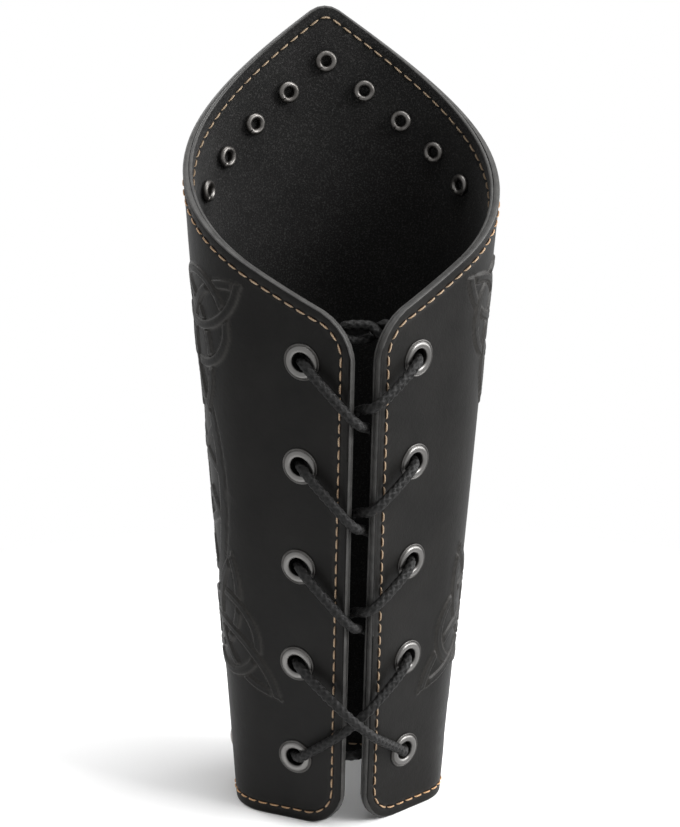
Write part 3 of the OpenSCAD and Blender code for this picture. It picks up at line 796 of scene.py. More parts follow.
# The figure's strokes, in millimetres from the front line and from the foot: points, width, and for a rope
# the depth of its ticks and their slant
FIGURE = [
    ([(-45, 118.6), (-24, 117.6), (0, 117.3), (26, 117.9), (52, 119.4)], 6.4),
    ([(3.8, 171), (3.8, 62)], 4.4, 0.22, 0),
    ([(-9, 155), (16.5, 155)], 4.0),
    ([(-8, 155), (-8, 163.8)], 3.2, 0.2, 0),
    ([(15, 155), (15, 163.8)], 3.2, 0.2, 0),
    ([(-1.4, 150.2), (9, 150.2)], 2.2),
    ([(-1.4, 146.6), (9, 146.6)], 2.2),
    ([(-1.4, 142.8), (9, 142.8)], 2.4),
    ([(7.4, 121), (21.5, 136)], 4.2, 0.24, 0.9),
    ([(0.4, 121.6), (-12.6, 136.6)], 4.2, 0.24, -0.9),
    ([(-1.6, 114.4), (-15, 100.6)], 4.2, 0.24, 0.9),
    ([(9.6, 113.6), (20.4, 102.6)], 4.2, 0.24, -0.9),
    ([(12.6, 138.6), (21, 139.2), (31, 140.4)], 3.4),
    ([(23.8, 138), (25.2, 134), (24.6, 130)], 3.0),
    ([(19.6, 151.4), (27, 160.4)], 3.6, 0.2, 0.6),
    ([(19.6, 151.4), (24.5, 148.5), (29, 147.2)], 2.6),
    ([(21.4, 147), (23.8, 146.4), (24, 142.6), (27.6, 141.6), (30.6, 144)], 2.6),
    ([(33, 147.6), (29.4, 150.6)], 2.4),
    ([(-17.4, 139), (-14, 141.8), (-10, 140.6)], 2.6),
    ([(-18.6, 137.6), (-20, 133.4), (-19, 129.4)], 2.8),
    ([(-21.4, 156), (-16.6, 150.4), (-20.6, 145.6)], 2.6),
    ([(-33.6, 138.4), (-27, 132.6)], 2.6),
    ([(22.6, 126.4), (26.6, 124), (27.6, 119.6)], 2.8),
    ([(27.6, 115.6), (26, 112), (22, 110.6)], 2.8),
    ([(31, 126), (31, 111.4)], 2.4),
    ([(35.6, 126), (35.6, 111.4)], 2.4),
    ([(47, 131.6), (40.4, 131.6), (40.4, 107.6), (48, 107.6)], 3.0),
    ([(-39.4, 131), (-31, 131)], 3.2),
    ([(-39.4, 124.4), (-31, 124.4)], 3.2),
    ([(-39.4, 112.2), (-31, 112.2)], 3.2),
    ([(-39.4, 105.8), (-31, 105.8)], 3.2),
    ([(22, 84.4), (29, 77.8)], 4.0, 0.2, 0),
    ([(-27.4, 77), (-23.6, 82.6)], 3.4, 0.2, 0),
    ([(-17.6, 92.6), (-13.6, 90.8), (-10.6, 93.2)], 2.4),
    ([(-10, 80.6), (18, 80.6)], 4.2),
    ([(-7, 74.8), (15, 74.8)], 2.6),
    ([(-7, 74.8), (-11.4, 74.6), (-13, 71.6), (-9.6, 69.4), (-6.6, 69.4)], 2.4),
    ([(15, 74.8), (19.4, 76.4), (20.6, 73), (17.8, 70.4), (14.2, 70.4)], 2.4),
    ([(-0.6, 69), (8.6, 69)], 3.0),
]
LEAVES = [((24.4, 97.6), -42), ((-30.6, 94.2), 44), ((-24, 85.6), 44), ((-27, 151.4), 138)]
LEAF_STROKES = [(-4.6, 5.2), (-1.6, 6.4), (1.4, 6.4), (4.4, 4.4)]
LEAF_BEND = 1.6


def leaf(middle, turn):
    """Four nested strokes across a line that is turned by an angle, each bent in the middle."""
    along, across = way(turn), way(turn + 90)
    for at, half in LEAF_STROKES:
        back = middle + along * (at - LEAF_BEND)
        yield [back + across * half, middle + along * at, back - across * half]


def compass_figure(relief):
    """Raised strokes of the compass figure: ropes and ladders have ticks, bars and hooks a fine rim."""
    for points, width, *rope in FIGURE:
        ticks, slant = rope or (0, 0)
        relief.band(
            points, width, ARM_RISE, rim=0.0 if ticks else 0.08, ticks=ticks, slant=slant, clear=0.4, gutter=0.14
        )
    for middle, turn in LEAVES:
        for stroke in leaf(middle, turn):
            relief.band(stroke, 1.9, ARM_RISE, clear=0.2, gutter=0.1)


# Knots at the sides: a ring and three woven loops, of which the single one points down or up. A knot has its middle,
# its turn in degrees, its size, its way up, and how far the two other loops and the single one are drawn out
KNOT_REACH = 23.4
KNOT_BEND = math.radians(70)
KNOT_RING_R = 14.2
KNOT_BAND = 2.6
KNOT_RISE = 0.52
KNOT_TIP = 1.7
KNOTS = [
    (-72.0, 162.3, 2, 1.0, 1, 1.0, 1.43), (72.0, 162.3, -2, 1.0, 1, 1.0, 1.43),
    (-64.2, 61.2, 18, 0.93, -1, 1.33, 1.5), (64.2, 61.2, -18, 0.93, -1, 1.33, 1.5),
]


def knot_at(points, knot):
    """Carries a knot's own points to its place. Outside the ring, the distance from the middle is drawn out."""
    u, z, turn, size, up, pair, single = knot
    points = np.asarray(points, float)
    far = np.hypot(points[:, 0], points[:, 1])
    out = np.where(points[:, 1] < -far / 2, single, pair)
    grown = size * np.where(far > KNOT_RING_R, KNOT_RING_R + (far - KNOT_RING_R) * out, far) / np.maximum(far, 1e-6)
    x, y = points[:, 0] * grown, points[:, 1] * grown * up
    c, s = way(turn)
    return np.stack([u + c * x - s * y, z + s * x + c * y], axis=-1)


def ring_arc(mid, r, start, end):
    """Points of a circle between two angles in degrees, about 1.2 mm apart."""
    count = max(4, int(abs(math.radians(end - start)) * r / 1.2))
    return arc_points(mid, r, start, end, count)


def side_knot(relief, knot):
    """A woven knot: three arcs whose ends meet in points, and a ring. Each strand goes over and under in
    turn, so where the later one should lie under, the other's short stretch is laid again."""
    r = KNOT_REACH * math.sqrt(3) / 2 / math.sin(KNOT_BEND)
    away = KNOT_REACH / 2 + r * math.cos(KNOT_BEND)
    bend = math.degrees(KNOT_BEND)
    lay = {"width": KNOT_BAND, "level": KNOT_RISE, "rim": 0.1, "clear": 0.7, "gutter": 0.22}

    def loop_arc(k, start, end):
        facing = 90 + 120 * k
        return knot_at(ring_arc(away * way(facing), r, facing + 180 + start, facing + 180 + end), knot)

    def ring_piece(start, end):
        return knot_at(ring_arc((0, 0), KNOT_RING_R, start, end), knot)

    relief.band(ring_piece(0, 360), **lay)
    for k in (2, 1, 0):
        relief.band(loop_arc(k, -bend, bend), **lay)
    cross = math.degrees(math.asin(away / r * math.sin(math.radians(60)))) - 60
    relief.band(loop_arc(2, cross - 8, cross + 8), flat_ends=True, **lay)
    swing = math.degrees(math.acos((KNOT_RING_R**2 + away**2 - r**2) / (2 * KNOT_RING_R * away)))
    for k in range(3):
        at = 90 + 120 * k + swing
        relief.band(ring_piece(at - 13, at + 13), flat_ends=True, **lay)
    for k in range(3):
        tip = [way(30 + 120 * k) * KNOT_REACH, way(30 + 120 * k) * (KNOT_REACH + KNOT_TIP)]
        relief.band(knot_at(tip, knot), 1.0, KNOT_RISE * 0.9)


# Seam: the line of stitches inside the edge, the same as in the part's source
SEAM_IN = 3.5
STITCH_LEN = 3.0
STITCH_STEP = 4.1
THREAD_D = 0.6


def seam_line():
    """One turn of the seam from the front of the base, as distance round and height: straight runs at a
    distance inside the edges, and quarter circles at the corners."""
    low_r = LOW_CORNER_R - SEAM_IN
    top_r = TOP_CORNER_R - SEAM_IN
    foot = np.linspace(0, 1 - LOW_CORNER_R / LOW_EDGE_ARC, 90)
    a = np.radians(np.arange(3, 90, 3))
    low_corner = 1 - (LOW_CORNER_R - low_r * np.sin(a)) / LOW_EDGE_ARC
    rise = np.linspace(LOW_CORNER_R, CORNER_H - TOP_CORNER_R, 120)
    side = 1 - SEAM_IN / edge_arc(rise)
    b = np.radians(np.arange(3, 91, 3))
    top_corner = 1 - (TOP_CORNER_R - top_r * np.cos(b)) / TOP_EDGE_ARC
    top = (1 - TOP_CORNER_R / TOP_EDGE_ARC) * (1 - np.linspace(0.005, 1, 240))
    share = np.concatenate([foot, low_corner, side, top_corner, top])
    z = np.concatenate([
        np.full(len(foot), SEAM_IN), LOW_CORNER_R - low_r * np.cos(a), rise,
        top_line(top_corner) - TOP_CORNER_R + top_r * np.sin(b), top_line(top, SEAM_IN),
    ])
    share = np.concatenate([share, -share[-2::-1]])
    z = np.concatenate([z, z[-2::-1]])
    return share * edge_arc(z), z


SEAM_U, SEAM_Z = seam_line()
SEAM_POINTS = wall_at(SEAM_U, SEAM_Z, 0)
SEAM_RUN = np.concatenate([[0], np.cumsum(np.linalg.norm(np.diff(SEAM_POINTS, axis=0), axis=1))])
STITCHES = int(SEAM_RUN[-1] // STITCH_STEP)
STITCH_MIDDLES = (np.arange(STITCHES) + 0.5) * (SEAM_RUN[-1] / STITCHES)
GROOVE_W = 1.5
GROOVE_EDGE = 0.45
HOLE_R = 0.62
HOLE_OFF = 0.25


def seam_at(run):
    """Distance round and height of the seam at a run along it."""
    run = np.mod(run, SEAM_RUN[-1])
    return np.interp(run, SEAM_RUN, SEAM_U), np.interp(run, SEAM_RUN, SEAM_Z)


def seam_groove(relief, depth, hole_depth):
    """The seam's shallow groove, and a dip where each stitch goes in."""
    line = np.stack([SEAM_U, SEAM_Z], axis=-1)[::4]
    relief.band(line, GROOVE_W, -depth, edge=GROOVE_EDGE)
    for end in (-1, 1):
        for place in np.stack(seam_at(STITCH_MIDDLES + end * (STITCH_LEN / 2 + HOLE_OFF)), axis=-1):
            relief.needle_hole(place, HOLE_R, hole_depth)


# Leather layers: leaves of a quadtree over the flat outline, small where the relief turns, at the edges and
# round the eyelets' holes. MISFIT is the height, in millimetres, by which a leaf may stray from the relief
UNITS = 512
CORNER_UNITS = 32
LEVELS = 4
EDGE_UNITS = 4
EDGE_LEVEL = 2
MISFIT = 0.13
RIM_R = 0.45
RIM_CUT = 0.29 * RIM_R
BACK_CUT = 0.12
HOLE_CLEAR = 0.6
FINE_ROUND_HOLE = 1.8
SEAT_FADE = 4
CAP_SEAT = 0.4
CROWN_SEAT = 0.3
# Steepness at which the relief's edges are painted palest, as wear and as a painted highlight.
FULL_PALE_STEEPNESS = 0.9


def unit_share():
    """Share of the half girth at each unit across: even, and drawn together over the rounded corners."""
    corner = LOW_CORNER_R / LOW_EDGE_ARC
    half = UNITS // 2
    flat = np.linspace(0, 1 - corner, half - CORNER_UNITS + 1)
    bend = 1 - corner * (1 - np.sin(np.linspace(0, math.pi / 2, CORNER_UNITS + 1)[1:]))
    right = np.concatenate([flat, bend])
    return np.concatenate([-right[:0:-1], right])


def pool(cells, join):
    """Joins each two by two block of cells."""
    return join(join(cells[::2, ::2], cells[1::2, ::2]), join(cells[::2, 1::2], cells[1::2, 1::2]))


def spread(cells):
    """Cells and their four neighbours."""
    wide = cells.copy()
    wide[1:] |= cells[:-1]
    wide[:-1] |= cells[1:]
    wide[:, 1:] |= cells[:, :-1]
    wide[:, :-1] |= cells[:, 1:]
    return wide


def misfit(height, size):
    """How far the height in the middle of each cell and of its sides lies off straight lines between its corners."""
    half = size // 2
    a, b = height[:-1:size, :-1:size], height[size::size, :-1:size]
    c, d = height[:-1:size, size::size], height[size::size, size::size]
    low, high = height[half::size, :-1:size], height[half::size, size::size]
    left, right = height[:-1:size, half::size], height[size::size, half::size]
    mid = height[half::size, half::size]
    off = [low - (a + b) / 2, high - (c + d) / 2, left - (a + c) / 2, right - (b + d) / 2, mid - (a + b + c + d) / 4]
    return np.maximum.reduce(np.abs(off))


def cut_leaves(height, allowed):
    """Leaves of the quadtree, level by level: a cell is cut where the height inside it strays too far from
    its corners or its size isn't allowed, and next to cells that are cut twice as small."""
    cut = [np.zeros((UNITS, UNITS), bool)]
    for level in range(1, LEVELS + 1):
        allowed = pool(allowed, np.minimum)
        strays = misfit(height, 2**level) > MISFIT
        cut.append(strays | (allowed < level) | pool(spread(cut[-1]), np.logical_or))
    leaves = {}
    there = np.ones_like(cut[LEVELS])
    for level in range(LEVELS, 0, -1):
        leaves[level] = np.argwhere(there & ~cut[level])
        there = np.repeat(np.repeat(there & cut[level], 2, axis=0), 2, axis=1)
    leaves[0] = np.argwhere(there)
    return leaves


def leaf_faces(leaves, keep):
    """Marked grid points and faces of the leaves that are kept: a quad, or a fan round the middle where a
    smaller neighbour has a point on an edge."""
    marked = np.zeros((UNITS + 1, UNITS + 1), bool)
    kept = {}
    for level, cells in leaves.items():
        size = 2**level
        mid = np.minimum(cells * size + size // 2, UNITS)
        kept[level] = cells[keep[mid[:, 0], mid[:, 1]]] * size
        for i in (0, size):
            for j in (0, size):
                marked[kept[level][:, 0] + i, kept[level][:, 1] + j] = True
    quads = []
    fans = []
    centres = []
    for level, at in kept.items():
        size = 2**level
        half = size // 2
        c = [at, at + [size, 0], at + [size, size], at + [0, size]]
        if level == 0:
            quads.append(np.stack(c, axis=1))
            continue
        m = [at + [half, 0], at + [size, half], at + [half, size], at + [0, half]]
        has = [marked[p[:, 0], p[:, 1]] for p in m]
        plain = ~np.logical_or.reduce(has)
        quads.append(np.stack([p[plain] for p in c], axis=1))
        middle = at + [half, half]
        centres.append(middle[~plain])
        for k in range(4):
            a, b = c[k], c[(k + 1) % 4]
            whole = ~plain & ~has[k]
            broken = ~plain & has[k]
            fans.append(np.stack([a[whole], b[whole], middle[whole]], axis=1))
            fans.append(np.stack([a[broken], m[k][broken], middle[broken]], axis=1))
            fans.append(np.stack([m[k][broken], b[broken], middle[broken]], axis=1))
    centres = np.concatenate(centres)
    marked[centres[:, 0], centres[:, 1]] = True
    flat = np.flatnonzero(marked)
    number = np.full(marked.size, -1)
    number[flat] = np.arange(len(flat))

    def numbered(corners):
        corners = np.concatenate(corners)
        return number[corners[..., 0] * (UNITS + 1) + corners[..., 1]]

    return flat, number, numbered(quads), numbered(fans)


def outline_side(u, z):
    """Outward direction of the flat outline at its points, from the step between its neighbours."""
    order = np.argsort(np.arctan2(z - EMBLEM_Z, u))
    pu = u[order]
    pz = z[order]
    step_u = np.roll(pu, -1) - np.roll(pu, 1)
    step_z = np.roll(pz, -1) - np.roll(pz, 1)
    length = np.hypot(step_u, step_z)
    out = np.zeros((len(u), 2))
    out[order] = np.stack([step_z / length, -step_u / length], axis=-1)
    return out


def sway(u, z):
    """Slow unevenness of hand-worked leather, in millimetres: three waves, 75 to 115 mm long, that cross."""
    return 0.07 * np.sin(u / 17 + z / 41) + 0.06 * np.sin(u / 29 - z / 23 + 1.3) + 0.04 * np.sin(z / 13 + u / 37)


def seat_metal(points, u, z, rows, r_flat, level):
    """Draws the leather flat under round metal parts: each point near one moves to the part's plane, in
    full inside the radius and less and less until it is 4 mm away."""
    for arc, h in [place for _, places in rows for place in places]:
        near = np.hypot(u - arc, z - h)
        some = near < r_flat + SEAT_FADE
        n = wall_out(arc, h)
        share = 1 - ramp((near[some] - r_flat) / SEAT_FADE)
        off = (points[some] - wall_at(arc, h, level)) @ n
        points[some] -= (off * share)[:, None] * n


def hole_mask(u, z, r):
    """Where the leather stays: everywhere but inside the punched eyelet holes."""
    keep = np.ones(u.shape, bool)
    for arc, h in LEFT_PLACES + RIGHT_PLACES:
        keep &= np.hypot(u - arc, z - h) > r
    return keep


def leather_layer(name, relief, face_level, back_level, finish, replaced):
    """One layer of the wall as a closed shell: a face with its relief, a plain back, a rounded painted rim
    and a wall in each eyelet's hole. The face lies at one level and the back at the other."""
    sign = 1 if face_level > back_level else -1
    shares = unit_share()[:, None]
    z = wall_foot(shares) + (wall_top(shares) - wall_foot(shares)) * np.linspace(0, 1, UNITS + 1)[None, :]
    u = shares * edge_arc(z)
    height = relief.sample(relief.height, u, z)
    keep = hole_mask(u, z, EYELET_HOLE_R + BARREL_T + HOLE_CLEAR)
    allowed = np.full((UNITS, UNITS), LEVELS)
    allowed[:EDGE_UNITS] = allowed[-EDGE_UNITS:] = EDGE_LEVEL
    allowed[:, :EDGE_UNITS] = allowed[:, -EDGE_UNITS:] = EDGE_LEVEL
    allowed[~hole_mask(u, z, EYELET_HOLE_R + FINE_ROUND_HOLE)[:-1, :-1]] = 0
    flat, _, quads, fans = leaf_faces(cut_leaves(height, allowed), keep)
    back_flat, back_number, back_quads, back_fans = leaf_faces(cut_leaves(height * 0, allowed), keep)
    face_u, face_z = u.ravel()[flat], z.ravel()[flat]
    back_u, back_z = u.ravel()[back_flat], z.ravel()[back_flat]

    # The edges that only one face has, and the outward direction at those on the outline
    edges = np.concatenate(
        [quads[:, [k, (k + 1) % 4]] for k in range(4)] + [fans[:, [k, (k + 1) % 3]] for k in range(3)]
    )
    count = len(flat)
    open_edges = edges[~np.isin(edges[:, 0] * count + edges[:, 1], edges[:, 1] * count + edges[:, 0])]
    rim = np.unique(open_edges)
    i, j = flat[rim] // (UNITS + 1), flat[rim] % (UNITS + 1)
    on_rim = (i == 0) | (i == UNITS) | (j == 0) | (j == UNITS)
    rim_u, rim_z = face_u[rim], face_z[rim]
    out = np.zeros((len(rim), 2))
    out[on_rim] = outline_side(rim_u[on_rim], rim_z[on_rim])

    shift = np.zeros((count, 2))
    shift[rim] = -RIM_R * out
    out_by = face_level + sign * (height.ravel()[flat] + sway(face_u, face_z))
    points = wall_at(face_u + shift[:, 0], np.maximum(face_z + shift[:, 1], 0.0), out_by)
    seat_metal(points, face_u, face_z, RIVET_ROWS, CAP_R + CAP_SEAT, face_level)
    seat_metal(points, face_u, face_z, EYELET_ROWS, EYELET_R + CROWN_SEAT, face_level)

    # Rings from the face's edge to the back's: how far out and how deep each lies
    deep = abs(back_level - face_level)
    base = sway(rim_u, rim_z)
    rings = [
        wall_at(rim_u + away * out[:, 0], np.maximum(rim_z + away * out[:, 1], 0), face_level + sign * (base - down))
        for away, down in ((-RIM_CUT, RIM_CUT), (0, RIM_R), (0, deep - BACK_CUT), (-BACK_CUT, deep))
    ]
    back_points = wall_at(back_u, back_z, back_level + sign * sway(back_u, back_z))
    place = np.full(count, -1)
    place[rim] = np.arange(len(rim))
    back_start = count + len(rings) * len(rim)
    rows = [open_edges] + [count + k * len(rim) + place[open_edges] for k in range(len(rings))]
    rows.append(back_number[flat[open_edges]] + back_start)
    walls = [np.stack([r1[:, 1], r1[:, 0], r2[:, 0], r2[:, 1]], axis=-1) for r1, r2 in zip(rows, rows[1:])]
    faces = [
        quads, np.concatenate(walls), back_quads[:, ::-1] + back_start, fans, back_fans[:, ::-1] + back_start,
    ]
    finish_of = np.concatenate([np.full(len(f), k) for f, k in zip(faces, (0, 1, 0, 0, 0))])

    holes = np.zeros(back_start + len(back_flat))
    holes[:count] = relief.sample(relief.holes, face_u, face_z)
    # Steep edges of the relief, stored to be painted paler as wear and as a painted highlight, except in the needle
    # holes.
    rubbed_and_highlit = np.zeros_like(holes)
    rubbed_and_highlit[:count] = np.clip(relief.sample(relief.steepness(), face_u, face_z) / FULL_PALE_STEEPNESS, 0, 1)
    rubbed_and_highlit[:count] *= 1 - holes[:count]
    make_piece(
        name, np.concatenate([points] + rings + [back_points]), faces, [finish, EDGE], [replaced],
        face_finish=finish_of, values={"relief_edge": rubbed_and_highlit, "needle_hole": holes},
    )


def make_wall():
    """The stamped leather and its lining."""
    stamped = Relief()
    round_frame(stamped)
    ring_marks(stamped)
    compass_figure(stamped)
    for knot in KNOTS:
        side_knot(stamped, knot)
    seam_groove(stamped, depth=0.16, hole_depth=0.22)
    leather_layer("stamped_leather", stamped, 0.0, -LEATHER_T, LEATHER, "outer_leather")
    inside = Relief()
    seam_groove(inside, depth=0.14, hole_depth=0.18)
    leather_layer("suede_lining", inside, -WALL_T, -LEATHER_T - 0.02, SUEDE, "lining")


# Stitches
STITCH_RINGS = 7
STITCH_SIDES = 6
STITCH_BITE = 0.12


def make_stitches(name, level, finish, replaced, outward):
    """Every stitch as a small tube: its middle line follows the seam and dips into its two holes, at a rise
    of 0.16 (1 - s^4) - 0.3 s^4, and its thickness runs out at the ends."""
    s = np.linspace(-1, 1, STITCH_RINGS)
    run = STITCH_MIDDLES[:, None] + s[None, :] * (STITCH_LEN / 2 + STITCH_BITE)
    u, z = seam_at(run)
    rise = 0.16 * (1 - s**4) - 0.3 * s**4
    sign = 1 if outward else -1
    line = wall_at(u, z, level + sign * sway(u, z) + sign * rise)
    along = unit(np.gradient(line, axis=1))
    out = unit(wall_at(u, z, level + 1) - wall_at(u, z, level))
    across = unit(np.cross(along, out))
    up = np.cross(across, along)
    wide = THREAD_D / 2 * np.sqrt(np.clip(1.04 - s**4, 0.04, 1))
    a = np.arange(STITCH_SIDES) * 2 * math.pi / STITCH_SIDES
    ring = (
        across[:, :, None, :] * np.cos(a)[None, None, :, None] * wide[None, :, None, None] * 1.02
        + up[:, :, None, :] * np.sin(a)[None, None, :, None] * wide[None, :, None, None] * 0.9
    )
    points = line[:, :, None, :] + ring
    one = grid_quads(STITCH_RINGS, STITCH_SIDES, wrap_columns=True)
    ends = np.array([[0, 1, 2, 3], [0, 3, 4, 5]])
    caps = np.concatenate([ends, (STITCH_RINGS - 1) * STITCH_SIDES + ends[:, ::-1]])
    start = (np.arange(STITCHES) * STITCH_RINGS * STITCH_SIDES)[:, None, None]
    faces = (np.concatenate([one, caps[:, ::-1]])[None] + start).reshape(-1, 4)
    uv = np.zeros(points.shape[:3] + (2,))
    uv[..., 0] = (run - STITCH_MIDDLES[:, None])[:, :, None] * 2
    uv[..., 1] = (np.arange(STITCH_SIDES) / STITCH_SIDES * 3)[None, None, :]
    # Paler along the top of each stitch and darker at its sides: a painted highlight and painted shade.
    top = np.broadcast_to(np.clip(0.35 + 0.65 * sign * np.sin(a), 0, 1), points.shape[:3])
    make_piece(
        name, points, [faces], [finish], replaced, uv=uv.reshape(-1, 2),
        values={"stitch_top": top.ravel()},
    )


# Rivets and eyelets
CAP_SIDES = 64
TUBE_SIDES = 96
EYELET_SIDES = 72
LIP_R = 0.42


def cap_profile():
    """Radius and height of a domed cap: the dome's sphere up to 1.05 mm from the edge, a groove 0.22 mm deep
    round it, the rolled edge, and an underside that is hollow up to the cap's thickness."""
    rise = CAP_H - CAP_EDGE
    dome_r = (CAP_R**2 + rise**2) / (2 * rise)
    r = np.linspace(0, CAP_R - 1.05, 22)
    dome = np.stack([r, CAP_H - dome_r + np.sqrt(dome_r**2 - r**2)], axis=-1)
    step = np.array([[CAP_R - 0.86, dome[-1, 1] - 0.22], [CAP_R - 0.74, dome[-1, 1] - 0.24]])
    edge = arc_points((CAP_R - LIP_R, 0.62), LIP_R, 120, -70, 12)
    under = np.array([[CAP_R - 0.6, 0.0], [CAP_R - 1.0, 0.0], [CAP_R - 1.0, CAP_T], [0.0, CAP_T]])
    return np.concatenate([dome, step, edge, under])


def make_caps():
    """The domed caps. Their rims are painted bright, as wear and as a painted highlight, round a dark middle that
    paints a dark reflection: the stored value is 0.6 (r / R)^4, and rises to 1 between 0.78 and 0.92 of the radius."""
    profile = cap_profile()
    share = profile[:, 0] / CAP_R
    rubbed_and_highlit = np.tile(np.maximum(ramp((share - 0.78) / 0.14), 0.6 * share**4), CAP_SIDES)
    make_turned("cap", "rivet_cap", RIVET_ROWS, profile, CAP_SIDES, NICKEL, closed=False,
                values={"rubbed_rim_and_highlight": rubbed_and_highlit})


ROLL_Z = -(WALL_T + CURVE_GAP + CURL_R)
FLANGE_Z = CAP_T + SEAT_GAP


def tube_profile():
    """Radius and height of a tubular shank: up the bore, over the flange, down outside, and round the
    rolled end to the bore again, as one closed line."""
    shank_out = SHANK_R + SHANK_T
    curl = arc_points((SHANK_R + CURL_R, ROLL_Z), CURL_R, 0, -180, 22)
    inner_curl = arc_points((SHANK_R + CURL_R, ROLL_Z), CURL_R - SHANK_T, -180, 60, 20)
    flange = np.array([
        [SHANK_R, FLANGE_Z + SHANK_T], [FLANGE_R, FLANGE_Z + SHANK_T], [FLANGE_R, FLANGE_Z], [shank_out, FLANGE_Z],
    ])
    lip = arc_points((SHANK_R + CURL_R, ROLL_Z), CURL_R, 60, 0, 6)
    return np.concatenate([flange, inner_curl, lip, curl[1:]])


def split_roll(a, r, h):
    """One short split in the rolled end, 0.7 radians round: a dip e^-((a - 0.7) / 0.06)^2 of its radius and
    height, in full on the outer half of the curl."""
    off = (a - 0.7 + math.pi) % (2 * math.pi) - math.pi
    dip = np.exp(-((off / 0.06) ** 2))
    low = ramp((-(h + WALL_T) - 0.2) / 0.6) * ramp((r - SHANK_R - 0.35) / 0.5)
    return r - 0.22 * dip * low * (r > SHANK_R + CURL_R), h + 0.28 * dip * low * (h < ROLL_Z)


def make_tubes():
    """The tubular shanks with their rolled and split ends."""
    make_turned("shank", "rivet_tube", RIVET_ROWS, tube_profile(), TUBE_SIDES, BRIGHT_NICKEL,
                notch=split_roll)


WASHER_Z = -(WALL_T + CURVE_GAP + WASHER_T)
CLINCH_Z = WASHER_Z - SEAT_GAP - CLINCH_R


def eyelet_profile():
    """Radius and height of an eyelet as one closed line: the crown as an arch from the hole to the rim, of
    height h sin(t)^0.8, with a low lip round it, the barrel, and the curl over the washer."""
    lip = 0.62
    width = EYELET_R - lip - EYELET_HOLE_R
    t = np.radians(np.linspace(180, 24, 24))
    arch = np.stack([
        EYELET_HOLE_R + width / 2 + width / 2 * np.cos(t), CROWN_H * np.sin(t) ** 0.8 + 0.02,
    ], axis=-1)
    outer = arc_points((EYELET_R - lip / 2, 0.14), lip / 2, 150, -20, 8)
    crown = np.concatenate([arch, outer])
    barrel_out = EYELET_HOLE_R + BARREL_T
    under = np.array([[EYELET_R - 0.12, 0.0], [barrel_out + 0.3, 0.0], [barrel_out, -0.3]])
    curl = arc_points((barrel_out, CLINCH_Z), CLINCH_R, 60, -150, 18)
    bore = np.array([[EYELET_HOLE_R, CLINCH_Z + 0.3], [EYELET_HOLE_R, -0.4]])
    return np.concatenate([crown, under, curl, bore])


def make_eyelets():
    """The eyelets, with crowns painted paler along their top, and the finish of the washers behind them."""
    profile = eyelet_profile()
    rubbed_and_highlit = np.tile(ramp((profile[:, 1] - 0.35) / 0.5), EYELET_SIDES)
    make_turned("crown", "eyelet", EYELET_ROWS, profile, EYELET_SIDES, GUNMETAL,
                values={"rubbed_rim_and_highlight": rubbed_and_highlit})
    for row, places in EYELET_ROWS:
        for i in range(1, len(places) + 1):
            refinish(f"washer_{row}_{i}", GUNMETAL)


# Lace: the part's route, repeated from its points
LACE_D = 3.2
LACE_R = LACE_D / 2
LACE_GAP = 0.15
KNOT_LIFT = 7.5
TAIL_LEN = 30
OVER_LEATHER = LACE_R + LACE_GAP
OVER_CROWN = CROWN_H + LACE_R + LACE_GAP
UNDER_LINING = -(WALL_T + LACE_R + LACE_GAP)
UNDER_CLINCH = CLINCH_Z - CLINCH_R - LACE_R - LACE_GAP

# A strand's points: share of the way across to the eyelet, share of the way down to the next row, and level
CROSSING = [
    (0.96, 0.02, OVER_CROWN * 0.7), (0.82, 0.1, OVER_CROWN + 0.2), (0.24, 0.4, OVER_LEATHER + 0.2),
    (0.11, 0.455, 0.1), (0.02, 0.49, -3), (-0.06, 0.52, -4.9), (-0.2, 0.58, UNDER_LINING - 0.5),
    (-0.82, 0.9, UNDER_CLINCH - 0.2), (-0.97, 0.98, UNDER_CLINCH * 0.8),
]
LAST_CROSSING = [
    (0.96, 0.02, OVER_CROWN * 0.7), (0.82, 0.1, OVER_CROWN + 0.2), (0.26, 0.37, OVER_LEATHER + 0.3),
    (0.1, 0.45, 0.9), (-0.1, 0.55, 0.9), (-0.26, 0.63, OVER_LEATHER + 0.3),
    (-0.82, 0.9, OVER_CROWN + 0.2), (-0.96, 0.98, OVER_CROWN * 0.7),
]

# The bar behind the lowest eyelets: share of the way across, and level
CROSS_BAR = [(0.95, UNDER_CLINCH), (0.8, -6.7), (0.4, -6.7), (0, -8), (-0.4, -6.7), (-0.8, -6.7), (-0.95, UNDER_CLINCH)]

# The twist of the two ends behind the gap: distance across and turn in degrees
PASS_APART = 5.6
PASS_OVER = LACE_D + LACE_GAP
TWIST_HALF = [(11, 270), (9.5, 221), (8, 172), (6.5, 123), (5, 74), (3.5, 25)]
TWIST_LEVEL = -6.8
TWIST_R = LACE_R + 0.5
TWIST_Z = EYELET_TOP_H + KNOT_LIFT
TWIST = TWIST_HALF + [(-d, -t) for d, t in reversed(TWIST_HALF)]


def crossing_points(hand, row):
    """One crossing from an eyelet, over its flap and through the gap, to the one below on the other side."""
    d, down, level = np.array(CROSSING).T
    bow = (1 - np.abs(d)) * (-PASS_APART / 2 if hand > 0 else PASS_APART / 2)
    return on_back(hand * d * EYELET_OFF, eyelet_level(row) - down * EYELET_STEP + bow, level)


def last_crossing_points(hand):
    """The lowest crossing, which stays outside. The left strand lies on top."""
    d, down, level = np.array(LAST_CROSSING).T
    rise = np.clip(1.3 - 1.6 * np.abs(d), 0, 1) * PASS_OVER if hand > 0 else 0
    return on_back(hand * d * EYELET_OFF, eyelet_level(ROWS[-2]) - down * EYELET_STEP, level + rise)


